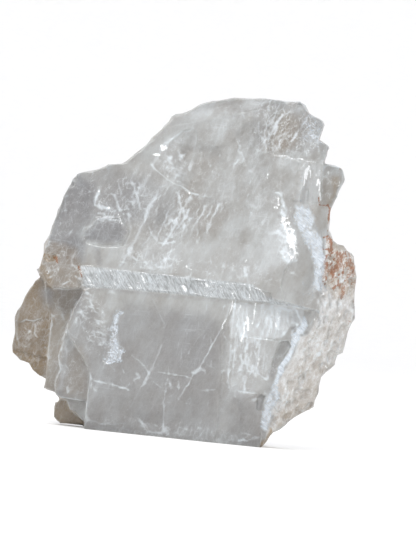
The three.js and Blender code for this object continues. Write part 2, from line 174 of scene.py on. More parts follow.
def window_light(name, place, size, power):
    lamp = bpy.data.objects.new(name, bpy.data.lights.new(name, "AREA"))
    lamp.data.size = size * MM
    lamp.data.energy = power
    lamp.location = Vector(place) * MM
    lamp.rotation_euler = (LIT_POINT - Vector(place)).to_track_quat("-Z", "Y").to_euler()
    bpy.context.scene.collection.objects.link(lamp)
    return lamp


lamps = [
    window_light("window_left", (-900, -1300, 1900), size=900, power=22.0),
    window_light("window_right", (1300, -900, 1300), size=350, power=7.0),
]
print("lights:", [lamp.name for lamp in lamps])

# %% [markdown]
# The crystal starts as a copy of the measured solid. That solid has long thin triangles, so it is rebuilt as
# a close, even skin. A voxel remesh does this well, because the slab is one closed lump, and it breaks the
# sharp edges by about a millimetre, as handling has on the real one.

# %% Close, even skin
SKIN_SPACING = 0.95

crystal_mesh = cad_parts[NODE].data.copy()
crystal_mesh.name = "selenite_crystal"
crystal = bpy.data.objects.new("selenite_crystal", crystal_mesh)
bpy.context.scene.collection.objects.link(crystal)
crystal_mesh.materials.clear()


def apply_modifier(thing, kind, **settings):
    modifier = thing.modifiers.new("step", kind)
    for name, value in settings.items():
        setattr(modifier, name, value)
    finished = bpy.data.meshes.new_from_object(thing.evaluated_get(bpy.context.evaluated_depsgraph_get()))
    thing.modifiers.clear()
    thing.data = finished
    finished.name = thing.name


apply_modifier(crystal, "REMESH", mode="VOXEL", voxel_size=SKIN_SPACING * MM)
print("skin of", len(crystal.data.vertices), "points")


# %% [markdown]
# From here the points are handled as arrays, in millimetres. Random relief comes from lattice noise: a
# random number at each corner of a grid, smoothly joined. It is the same on every run.

# %% Noise
def smooth(low_end, high_end, value):
    t = np.clip((value - low_end) / (high_end - low_end), 0, 1)
    return t * t * (3 - 2 * t)


def lattice(corner, seed):
    key = corner.astype(np.int64) @ np.array([73856093, 19349663, 83492791]) + seed * 2654435761
    key = (key ^ (key >> 13)) * 1274126177 & 0xFFFFFFFF
    key = (key ^ (key >> 16)) * 2246822519 & 0xFFFFFFFF
    return (key ^ (key >> 15)) / 2147483648 - 1


def noise(points, size, seed, octaves=1):
    """Between about -1 and 1. The size is that of one lump, in mm, as one number or one for each axis."""
    total, weight = np.zeros(len(points)), 1.0
    for octave in range(octaves):
        place = points / (np.array(size) / 2 ** octave) + 17.3 * octave
        corner = np.floor(place)
        t = place - corner
        t = t * t * (3 - 2 * t)
        for dx in (0, 1):
            for dy in (0, 1):
                for dz in (0, 1):
                    share = (t[:, 0] if dx else 1 - t[:, 0]) * (t[:, 1] if dy else 1 - t[:, 1])
                    share = share * (t[:, 2] if dz else 1 - t[:, 2])
                    total += weight * share * lattice(corner + (dx, dy, dz), seed + octave)
        weight /= 2
    return total


def chips(u, v, size, seed):
    """Facets of broken crystal: each cell of a random mosaic has a height and a slope of its own."""
    place = np.stack([u, v], 1) / size
    home = np.floor(place)
    best, height = np.full(len(u), 1e9), np.zeros(len(u))
    for du in (-1, 0, 1):
        for dv in (-1, 0, 1):
            cell = np.stack([home[:, 0] + du, home[:, 1] + dv, np.zeros(len(u))], 1)
            rand = [lattice(cell, seed + k) for k in range(5)]
            du_mm = place[:, 0] - cell[:, 0] - 0.5 - 0.42 * rand[0]
            dv_mm = place[:, 1] - cell[:, 1] - 0.5 - 0.42 * rand[1]
            away = du_mm ** 2 + dv_mm ** 2
            nearer = away < best
            best = np.where(nearer, away, best)
            height = np.where(nearer, 0.5 * rand[2] + 0.8 * rand[3] * du_mm + 0.8 * rand[4] * dv_mm, height)
    return height


print("noise at one place:", noise(np.array([[1.0, 2.0, 3.0]]), 5, 0).round(3))

# %% [markdown]
# The places on the slab are given as a mapmaker would, by points [x, z] in millimetres on its broad face.
# A line of points stands for a crack or an edge, and a ring of points for a patch.

# %% Distances on the face
def distance_to_line(x, z, line):
    nearest = np.full(len(x), 1e9)
    for (x0, z0), (x1, z1) in zip(line, line[1:]):
        along = ((x - x0) * (x1 - x0) + (z - z0) * (z1 - z0)) / ((x1 - x0) ** 2 + (z1 - z0) ** 2)
        along = np.clip(along, 0, 1)
        nearest = np.minimum(nearest, np.hypot(x - x0 - along * (x1 - x0), z - z0 - along * (z1 - z0)))
    return nearest


def depth_inside(x, z, outline):
    """How far a point is inside an outline, and less than 0 outside it."""
    inside = np.zeros(len(x), bool)
    for (x0, z0), (x1, z1) in zip(outline, outline[1:] + outline[:1]):
        crosses = (z0 > z) != (z1 > z)
        inside ^= crosses & (x < (x1 - x0) * (z - z0) / (z1 - z0 + 1e-12) + x0)
    distance = distance_to_line(x, z, outline + outline[:1])
    return np.where(inside, distance, -distance)


def deepest(x, z, outlines):
    return np.max([depth_inside(x, z, outline) for outline in outlines], axis=0)


def points_of(mesh):
    flat = np.empty(len(mesh.vertices) * 3)
    mesh.vertices.foreach_get("co", flat)
    return flat.reshape(-1, 3) / MM


def normals_of(mesh):
    flat = np.empty(len(mesh.vertices) * 3)
    mesh.vertex_normals.foreach_get("vector", flat)
    return flat.reshape(-1, 3)


def neighbour_mean(mesh, values, rounds=1):
    pairs = np.empty(len(mesh.edges) * 2, np.int64)
    mesh.edges.foreach_get("vertices", pairs)
    a, b = pairs.reshape(-1, 2).T
    count = np.maximum(np.bincount(np.concatenate([a, b]), minlength=len(values)), 1)
    columns = [column for column in values.reshape(len(values), -1).T]
    for _ in range(rounds):
        columns = [(np.bincount(a, c[b], len(c)) + np.bincount(b, c[a], len(c))) / count for c in columns]
    return np.stack(columns, 1).reshape(values.shape)


points = points_of(crystal.data)
print("from", points.min(0).round(1), "to", points.max(0).round(1), "mm")

# %% [markdown]
# The slab has three kinds of surface. The broad faces are cleavage, as flat as glass but for a slight swell.
# The torn faces are the bevels where the sheets ripped, along the ledge and down the right side. The walls
# are the ends of the sheets, and look like the fore-edge of a book.

# %% Torn faces
TORN = {
    "ledge": [(-93, 137.5), (-93, 119), (-60, 121), (-10, 122), (40, 122.5), (58, 123), (112, 121),
              (68, 128), (62, 133), (54, 137.5)],
    "right_flank": [(113, 184), (113, 150), (112, 121), (110, 109), (106, 100), (99, 97), (97, 86), (93, 76),
                    (89, 68), (86, 60), (83, 53), (88, 45), (82, 32), (84, 26), (80, 14), (76, -5), (160, -5),
                    (160, 184)],
}
FROSTED = [
    (0.82, 1.5, [(101, 114), (97, 105), (92, 97), (92.5, 88), (89.5, 81), (86, 74), (83, 69), (82, 58),
                (84, 54), (86, 61), (89.5, 69), (93.5, 77), (97, 87), (98, 90), (99.5, 98.5), (104, 100.5),
                (105.5, 108), (103, 115)]),
    (0.7, 2.0, [(82, 62), (80, 51.5), (75.5, 43.5), (73.5, 37), (74.5, 32), (73, 21), (74, 17), (77.5, 13.5),
                (80, 14), (81, 20), (84, 27), (81.5, 32), (88, 41), (88, 47), (84, 54), (86, 62)]),
    (0.74, 3.4, [(82.5, 208), (84, 192), (90, 185), (96, 175), (101.5, 165.5), (105.5, 163), (107, 155),
                 (108, 147.5), (109.5, 138), (112.5, 139), (113, 148), (112.5, 162), (112, 172), (111, 180),
                 (107.5, 186.5), (102, 190.5), (101, 200), (97, 208)]),
    (0.3, 4.0, [(82, 246), (82, 206), (96, 206), (94, 246)]),
    (0.66, 2.4, [(-59, 103.5), (-51, 104), (-51, 101), (-55, 99), (-56, 92), (-53.5, 86), (-54, 80),
                 (-52, 75), (-46.5, 69), (-49, 66), (-49, 60), (-57, 57), (-62, 55), (-66, 60), (-63, 63),
                 (-61, 72), (-66, 70), (-62, 78), (-61, 84), (-66, 86), (-62, 90), (-61, 97)]),
    (0.45, 4.0, [(80, 294), (81, 270), (79, 262), (86, 261), (99, 258), (102, 270), (99, 284), (90, 292)]),
    (0.22, 2.0, [(-92, 137), (-84, 121), (-74, 123), (-62, 124), (-52, 127), (-50, 136)]),
    (0.4, 3.0, [(112, 128), (112, 106), (118, 104), (118, 126)]),
    (0.35, 3.0, [(115, 143), (114, 135), (120, 136), (120, 143)]),
    (0.4, 3.0, [(133, 138), (134, 131), (142, 133), (141, 139)]),
    (0.4, 4.0, [(131, 104), (130, 84), (119, 80), (118, 74), (132, 76), (138, 90), (137, 104)]),
    (0.3, 3.0, [(95, 148), (94, 132), (108, 131), (109, 146)]),
    (0.6, 3.0, [(103, 168), (105, 138), (114, 136), (114, 168)]),
]
print(len(TORN), "torn faces and", len(FROSTED), "frosted ones")

# %% [markdown]
# A point's kind is a share from 0 to 1, so that one kind runs softly into the next. It comes from which way
# the surface faces there and from the rings above. The directions are averaged over a few neighbours first,
# because a voxel skin has small steps in it.

# %% Which kind each point belongs to
x, y, z = points.T
depth_mm = high[1] - y
normals = neighbour_mean(crystal.data, normals_of(crystal.data), 4)
normals /= np.linalg.norm(normals, axis=1)[:, None]
front = smooth(0.45, 0.75, -normals[:, 1])
back = smooth(0.6, 0.85, normals[:, 1])
wall = np.clip(1 - front - back, 0, 1)
base = smooth(0.6, 0.9, -normals[:, 2]) * (z < 2)
torn = front * smooth(-1, 1.5, deepest(x, z, TORN.values()))
frosted = front * smooth(-0.8, 0.8, deepest(x, z, [ring for amount, rim, ring in FROSTED[:4]]))
print("front", front.mean().round(2), "back", back.mean().round(2), "wall", wall.mean().round(2))

# %% [markdown]
# One hollow at the upper left is so worn and clouded that its sides hardly show. It is filled to just below
# the level of the face around it.

# %% Worn hollow
HOLLOW = [(-92, 160), (-91, 166), (-85, 172), (-82, 177), (-70, 178), (-63, 178), (-57, 170), (-60, 160),
          (-75, 158)]
into_hollow = depth_inside(x, z, HOLLOW)
around = (front > 0.9) & (into_hollow < -3) & (into_hollow > -7)
face_level = np.median(y[around])
worn = smooth(0.1, 0.4, -normals[:, 1]) * smooth(-3.0, -1.5, into_hollow)
points[:, 1] += (face_level + 0.25 * smooth(0, 5, into_hollow) - y) * worn
normals = normals * (1 - worn[:, None]) + np.array([0, -1, 0]) * worn[:, None]
front = np.maximum(front, worn)
wall = np.clip(1 - front - back, 0, 1)
x, y, z = points.T
print("hollow filled to", face_level.round(2), "mm,", (worn > 0.5).sum(), "points")

# %% [markdown]
# Relief is then a height in millimetres for every point, built up kind by kind, and the points are moved
# along their normals. Working on heights keeps the slab's size, because nothing moves by more than two
# millimetres and nothing may leave the measured box.

# %% Relief of the broad faces
cleavage = np.clip(front + back - torn - frosted, 0, 1)
relief = cleavage * (0.16 * noise(points, 34, 3) + 0.07 * noise(points, 11, 5, 2))

print("broad faces:", (cleavage > 0.5).mean().round(2), "of the points")

# %% [markdown]
# Where the sheets ripped, the face is a rubble of small chips on the flank and slanting splinters on the
# ledge. The flank's chips are stretched along its length, and so are turned to its own two directions first.

# %% Relief of the torn faces
flank = front * smooth(-1, 1.5, depth_inside(x, z, TORN["right_flank"]))
ledge = front * smooth(-1, 1.0, depth_inside(x, z, TORN["ledge"]))
across, along = 0.91 * x - 0.42 * z, 0.42 * x + 0.91 * z
rubble = 0.38 * chips(across, 0.35 * along, 9.0, 21) + 0.1 * noise(points, (2.6, 2.6, 3.4), 31, 2)
splinters = 0.38 * chips(x + 0.6 * z, 0.25 * z, 4.2, 41) + 0.2 * chips(x + 0.5 * z, 0.4 * z, 2.2, 51)
relief += flank * (rubble + 0.7 * noise(points, (14, 30, 24), 23))
relief += ledge * splinters
print("flank:", (flank > 0.5).mean().round(2), "ledge:", (ledge > 0.5).mean().round(2), "of the points")
relief += frosted * (1 - flank) * (0.45 + 0.3 * noise(points, 2.6, 71) + 0.2 * chips(x, z, 2.6, 81))

# %% [markdown]
# The leaves are a few millimetres thick on the real piece and much thinner in places. Each leaf in a wall
# gets its own small step in or out, which changes slowly along the wall.

# %% Leaves in the walls
LEAF = 2.7
leaf = np.floor((depth_mm + 1.6 * noise(points, (40, 400, 40), 91)) / LEAF)
step = noise(np.stack([x / 14, leaf * 3.7, z / 14], 1), 1.0, 93)
half_leaf = np.floor((depth_mm + 1.1 * noise(points, (22, 400, 22), 95)) / (LEAF * 0.45))
fine_step = noise(np.stack([x / 6, half_leaf * 3.7, z / 6], 1), 1.0, 97)
relief += wall * (1 - base) * (0.75 * step + 0.35 * fine_step - 0.2)
print("relief from", relief.min().round(2), "to", relief.max().round(2), "mm")

# %% [markdown]
# A few places have relief of their own: the fine ripples that run out from a shell-shaped scar, the low waves
# beside the frosted patch, and the raised ring of broken edges at the right, whose brightness is a painted
# highlight laid on later with the glints.

# %% Scar, waves and ring
SCAR_PITCH = 4.5
WAVE_PITCH = 3.6
SCAR = [(-42, 229), (-35.5, 224), (-29, 219.5), (-23, 216), (-14, 213.5), (-10, 211), (-5.5, 209), (-6, 222),
        (-9.6, 231), (-8.5, 236), (-7, 250), (-7, 262), (-13, 261), (-20, 261), (-24.5, 256), (-29, 252),
        (-33, 245)]
WAVES = [(-88, 118), (-88, 100), (-86, 84), (-78, 70), (-66, 60), (-58, 62), (-56, 76), (-62, 92), (-70, 104),
         (-78, 118)]
RING = [(73.5, 195), (77, 189.5), (79, 184), (82.5, 179), (86, 175), (88.5, 165.5), (84.5, 160),
        (79.5, 161.5), (73.5, 165)]
scar_ripple = np.sin(distance_to_line(x, z, SCAR[:7]) * 2 * math.pi / SCAR_PITCH)
wave = np.sin((0.45 * x + z + 4 * noise(points, 8, 99)) * 2 * math.pi / WAVE_PITCH)
relief += front * smooth(0, 4, depth_inside(x, z, SCAR)) * 0.12 * scar_ripple
wave_height = 0.1 * wave + 0.14 * noise(points, (3.4, 8, 1.8), 103, 2)
relief += front * smooth(-2, 4, depth_inside(x, z, WAVES)) * wave_height
relief += front * smooth(-2.4, 1.6, 1.4 - distance_to_line(x, z, RING)) * (0.3 + 0.7 * chips(x, z, 3.0, 101))
print("relief now from", relief.min().round(2), "to", relief.max().round(2), "mm")

# %% [markdown]
# The heights are added now. The foot stays flat, because the slab stands on it.

# %% Move the points
moved = points + normals * (relief * (1 - base))[:, None]
moved = np.clip(moved, low + 0.02, high - 0.02)
moved[:, 2] = np.where(z < 0.6, np.maximum(z, 0.0), moved[:, 2])
crystal.data.vertices.foreach_set("co", (moved * MM).ravel())
crystal.data.update()
print("moved by at most", np.abs(moved - points).max().round(2), "mm")

# %% [markdown]
# Edges that stand proud are painted lighter. Knocks leave edges white, because they are full of tiny cracks,
# and the same lighter colour is also a painted highlight where the edges catch the light. An edge is found by
# comparing each point with the average of its neighbours: on an edge the point stands proud of them.

# %% Bruised edges and painted edge highlights
inner = neighbour_mean(crystal.data, moved, 6)
proud = np.einsum("ij,ij->i", moved - inner, normals)
bruise_and_edge_highlight = smooth(0.25, 0.75, proud)
print("bruised share", (bruise_and_edge_highlight > 0.5).mean().round(3))


def store(mesh, name, values):
    channel = mesh.attributes.get(name) or mesh.attributes.new(name, "FLOAT", "POINT")
    channel.data.foreach_set("value", np.asarray(values, np.float32))


store(crystal.data, "bruise_and_edge_highlight", bruise_and_edge_highlight)
store(crystal.data, "torn", np.maximum(torn, wall * 0.8))

# %% [markdown]
# The skin is now finer than the flat back needs. Decimate takes triangles away where they matter least. A
# vertex group keeps it off the front, where cracks and stains are drawn point by point. The skin is then
# kept inside the measured box once more and shaded smooth: its triangles are a way to hold the shape, and
# the real piece has no such small flats.

# %% Fewer triangles where nothing happens
TRIANGLE_LIMIT = 196000

group = crystal.vertex_groups.new(name="thin_out")
weight = np.clip(1 - 0.999 * front, 0, 1)
for level in range(11):
    chosen = np.flatnonzero(np.round(weight * 10) == level)
    group.add(chosen.tolist(), level / 10, "REPLACE")
before = sum(len(face.vertices) - 2 for face in crystal.data.polygons)
apply_modifier(crystal, "DECIMATE", ratio=min(1.0, TRIANGLE_LIMIT / before), use_collapse_triangulate=True,
               vertex_group="thin_out", vertex_group_factor=4.0)
crystal.vertex_groups.clear()
print("from", before, "to", len(crystal.data.polygons), "triangles")

points = np.clip(points_of(crystal.data), low, high)
crystal.data.vertices.foreach_set("co", (points * MM).ravel())
crystal.data.update()
crystal.data.shade_smooth()
x, y, z = points.T
normals = normals_of(crystal.data)
front = smooth(0.2, 0.6, -normals[:, 1])
print("points on the front:", int((front > 0.5).sum()), "of", len(points))

# %% [markdown]
# Cracks inside the crystal look like pale veils, and those that reach the face shine. They are drawn as
# strokes. Each stroke has half its width in millimetres, its strength from 0 to 1, and its points. A
# stroke wanders a little, thins towards its ends and breaks up, as the real cracks do.

# %% Strokes
def strokes(points, lists, seed, least=0.7):
    x, z = points[:, 0] + 0.6 * noise(points, 5, seed, 2), points[:, 2] + 0.6 * noise(points, 5, seed + 7, 2)
    width = 1 + 0.5 * noise(points, 4, seed + 13, 2)
    bare = np.ones(len(points))
    for half, strength, line in (stroke for group in lists.values() for stroke in group):
        xs, zs = np.array(line).T
        reach = 3.0 * max(half, least)
        near = np.flatnonzero((x > xs.min() - reach) & (x < xs.max() + reach)
                              & (z > zs.min() - reach) & (z < zs.max() + reach))
        away = distance_to_line(x[near], z[near], line) / max(half, least)
        cover = np.exp(-(away * width[near]) ** 2)
        bare[near] *= 1 - np.clip((0.25 + 0.85 * strength) * cover, 0, 1)
    return 1 - bare


def patches(points, rings, seed, wander=1.0):
    x = points[:, 0] + wander * noise(points, 6, seed, 3)
    z = points[:, 2] + wander * noise(points, 6, seed + 5, 3)
    bare = np.ones(len(points))
    for amount, rim, ring in rings:
        bare *= 1 - amount * smooth(-rim, rim, depth_inside(x, z, ring))
    return 1 - bare


def scatter(count, length, tilt, spread, strength, seed, ring):
    """Short strokes at random places in a ring. The tilt is in degrees from the level."""
    draw = np.random.default_rng(seed)
    places = draw.uniform(np.min(ring, 0), np.max(ring, 0), (8 * count, 2))
    places = places[depth_inside(places[:, 0], places[:, 1], ring) > 0][:count]
    angles = np.radians(tilt + spread * draw.standard_normal(len(places)))
    spans = length * draw.uniform(0.3, 1.3, len(places)) / 2
    bows = 0.3 * spans * draw.standard_normal(len(places))
    steps = np.stack([np.cos(angles), np.sin(angles)], 1)
    sides = np.stack([-steps[:, 1], steps[:, 0]], 1)
    starts, ends = places - steps * spans[:, None], places + steps * spans[:, None]
    middles = places + sides * bows[:, None]
    powers = strength * draw.uniform(0.4, 1.0, len(places))
    halves = draw.uniform(0.4, 0.8, len(places))
    return [(half, power, [tuple(start), tuple(middle), tuple(end)])
            for half, power, start, middle, end in zip(halves, powers, starts, middles, ends)]


trial = scatter(5, 10, 70, 5, 0.5, 1, [(0, 0), (0, 50), (50, 50), (50, 0)])
print("a trial scatter gives", len(trial), "strokes")

# %% [markdown]
# The upper plate has the scar's curved rim, long steep cleavage cracks, and knots of short cracks between
# them. They are read off the real piece one by one, as a draughtsman would, because their places are what
# makes this slab this slab.

# %% Veils in the upper plate
VEILS = {
    "far_left": [
        (1.8, 0.7, [(-84, 203), (-86, 197), (-86, 190), (-80, 189), (-74, 188)]),
        (0.9, 0.6, [(-83, 183.3), (-77, 183.3)]),
        (0.9, 0.5, [(-74, 182), (-69, 181.5)]),
        (1.3, 0.5, [(-82, 178), (-76, 180), (-70, 179), (-64, 180)]),
        (1.3, 0.5, [(-70, 200), (-68, 195), (-66, 192), (-65, 190)]),
        (0.9, 0.5, [(-68, 213), (-67, 207), (-64.5, 202)]),
        (1.4, 0.5, [(-58, 214), (-54, 208), (-52, 203), (-50, 198), (-47, 190)]),
        (0.8, 0.4, [(-60, 196), (-53, 196)]),
        (1.4, 0.4, [(-60, 193), (-57, 188), (-56, 180), (-53, 174)]),
        (1.0, 0.4, [(-80, 224), (-77, 220), (-79, 215)]),
        (0.8, 0.4, [(-99, 206), (-91, 200)]),
        (1.0, 0.3, [(-105, 182), (-101, 184), (-99, 181)]),
        (1.4, 0.3, [(-112, 194), (-111, 186), (-110, 178)]),
        (0.8, 0.4, [(-118, 171), (-114, 163)]),
        (1.2, 0.25, [(-95, 156), (-88, 154), (-80, 155), (-72, 154), (-62, 154)]),
        (0.8, 0.4, [(-124, 158), (-115, 157), (-103, 157)]),
    ],
    "scar": [
        (0.9, 0.75, [(-42, 229), (-36, 224), (-29, 219.5), (-22, 215.5), (-14, 213.5), (-10, 211),
                     (-5, 208.5), (0, 208)]),
        (0.9, 0.6, [(-10, 265), (-13, 261.5), (-19, 260.5), (-24, 256), (-29, 251), (-31, 246)]),
        (2.4, 0.45, [(-29, 252), (-35, 246)]),
        (1.2, 0.55, [(-37, 236), (-41, 229)]),
        (1.1, 0.4, [(-7, 262), (-6.5, 250), (-8.5, 235), (-10, 229)]),
        (0.8, 0.45, [(-29, 238), (-27, 234), (-24, 231)]),
        (0.8, 0.45, [(-25, 226), (-23, 229), (-20, 228)]),
        (0.8, 0.4, [(-19, 242), (-18, 236), (-15, 232)]),
        (0.8, 0.4, [(-31, 226), (-28, 229), (-25, 240)]),
        (2.6, 0.3, [(-27, 238), (-24, 228), (-18, 222)]),
        (2.6, 0.25, [(-34, 262), (-33, 250)]),
        (2.6, 0.2, [(-45, 252), (-42, 240)]),
    ],
    "upper_middle": [
        (2.4, 0.4, [(-41, 225), (-49, 207), (-54, 195)]),
        (2.0, 0.55, [(-34, 208), (-40, 192), (-43, 180), (-47, 170), (-50, 160), (-58, 143)]),
        (1.8, 0.5, [(-33, 211), (-28, 213)]),
        (1.0, 0.55, [(-48, 202), (-38, 203.5)]),
        (0.8, 0.35, [(-40, 180), (-34, 168)]),
        (1.3, 0.4, [(-33.5, 168), (-33, 167)]),
        (1.4, 0.65, [(-28, 163.5), (-22, 164), (-20, 165), (-15, 166)]),
        (1.4, 0.6, [(-25.5, 168), (-25, 168.5)]),
        (1.3, 0.55, [(-16, 208), (-15, 200), (-12, 195), (-15, 186), (-18, 177), (-20, 171)]),
        (0.9, 0.55, [(-5, 208), (-9, 200), (-11, 192)]),
        (0.8, 0.5, [(-6, 195), (-12, 182), (-18, 170)]),
        (1.3, 0.5, [(-11, 195), (-8, 192), (-10, 190)]),
        (0.8, 0.5, [(12.5, 226), (10, 220), (7, 211), (5, 207)]),
        (0.8, 0.4, [(9, 203), (4, 190), (0, 180), (-3, 171)]),
        (0.6, 0.3, [(4, 200), (0, 190)]),
        (0.9, 0.4, [(19, 202), (15, 190), (12, 180), (10.5, 171)]),
        (1.2, 0.35, [(17, 207), (18, 197)]),
        (1.6, 0.35, [(-2, 208), (4, 207), (12, 208)]),
        (0.8, 0.6, [(-38, 147), (-35, 141)]),
        (0.8, 0.6, [(-33, 148), (-31.5, 141)]),
        (0.8, 0.5, [(-26, 150), (-25, 146)]),
        (0.8, 0.5, [(-22, 149), (-21, 145), (-18.5, 144.5)]),
        (0.8, 0.5, [(-27, 143.5), (-20, 143.5)]),
        (0.6, 0.4, [(-28.5, 157), (-27.5, 153)]),
        (0.8, 0.45, [(-22, 151.5), (-16, 151)]),
        (1.2, 0.5, [(-3, 139), (2, 138)]),
        (0.7, 0.35, [(1, 239), (5, 236.5), (8, 233.5)]),
        (1.2, 0.45, [(16, 227), (17, 226)]),
    ],
    "upper_right": [
        (0.7, 0.5, [(33, 217), (37, 212), (41, 208)]),
        (0.7, 0.5, [(35, 211), (33.5, 207)]),
        (0.7, 0.45, [(43, 213), (42, 207.5)]),
        (1.4, 0.45, [(45, 205), (50, 203), (52, 201)]),
        (0.8, 0.4, [(46, 211.5), (50, 210), (48, 216)]),
        (1.4, 0.35, [(60, 200), (59, 190)]),
        (2.0, 0.4, [(70, 218), (73, 210), (77, 203), (76, 198)]),
        (1.6, 0.7, [(76, 167), (78, 163), (82, 160)]),
        (3.4, 0.4, [(64, 182), (72, 183), (80, 178)]),
        (0.8, 0.4, [(53, 180), (57, 175), (62, 171)]),
        (0.9, 0.5, [(65, 166), (69, 160)]),
        (1.4, 0.5, [(46, 149), (48, 145), (50, 139)]),
        (0.8, 0.4, [(38, 171), (44, 169.5), (50, 168.5)]),
        (0.8, 0.6, [(85, 150), (88, 151)]),
        (2.4, 0.3, [(76, 158), (84, 152), (92, 148)]),
    ],
    "top": [
        (0.7, 0.5, [(-10.8, 283.5), (-4, 280), (2, 275.5)]),
        (0.8, 0.3, [(-18, 274), (-10, 273.5)]),
        (0.7, 0.3, [(3, 280), (8, 285)]),
        (1.0, 0.35, [(16, 282), (18, 275), (22, 268), (27, 261), (31, 257)]),
        (0.8, 0.6, [(28, 288), (30, 283), (33, 277)]),
        (0.7, 0.8, [(53.5, 296.5), (52, 291), (51, 287)]),
        (0.7, 0.4, [(51, 288), (57, 285), (63, 284.5)]),
        (1.1, 0.65, [(65, 284), (61, 279), (61, 272), (59, 267)]),
        (0.7, 0.5, [(52, 270), (56, 268), (57, 266)]),
        (0.7, 0.4, [(54, 267), (51, 261)]),
        (1.1, 0.5, [(46, 276), (45.5, 269), (47, 264), (52, 260), (54, 256), (53, 250)]),
        (0.6, 0.4, [(68, 275), (63, 262)]),
        (0.6, 0.35, [(66, 272), (61, 262)]),
        (1.5, 0.45, [(59, 258), (60, 250)]),
        (1.5, 0.35, [(64, 258), (62, 251)]),
        (1.3, 0.55, [(29, 257), (31, 253), (30, 249), (33, 247), (36, 242)]),
        (1.6, 0.7, [(28, 237), (31, 241)]),
        (0.9, 0.45, [(58, 245), (57, 236), (57, 229)]),
        (0.6, 0.4, [(70, 242), (73, 246)]),
        (0.6, 0.4, [(75, 241), (78, 245)]),
        (0.9, 0.6, [(15, 293), (20, 296), (52, 297), (72, 296), (79, 297)]),
        (1.4, 0.6, [(80, 297), (88, 290), (96, 285), (100, 282)]),
        (1.4, 0.7, [(104, 240), (105, 243), (108, 245.5), (114, 245), (120, 244)]),
        (1.4, 0.6, [(121, 241), (122, 234), (119, 226), (119, 219), (117, 212)]),
        (1.4, 0.5, [(131.5, 179), (133, 175)]),
        (1.4, 0.5, [(112, 190), (112, 182), (114, 172), (115, 160)]),
    ],
}
print({name: len(group) for name, group in VEILS.items()})

# %% [markdown]
# Below the ledge the cracks are straighter. One long crack crosses the front plate, and thin level and
# upright ones part it into panes.

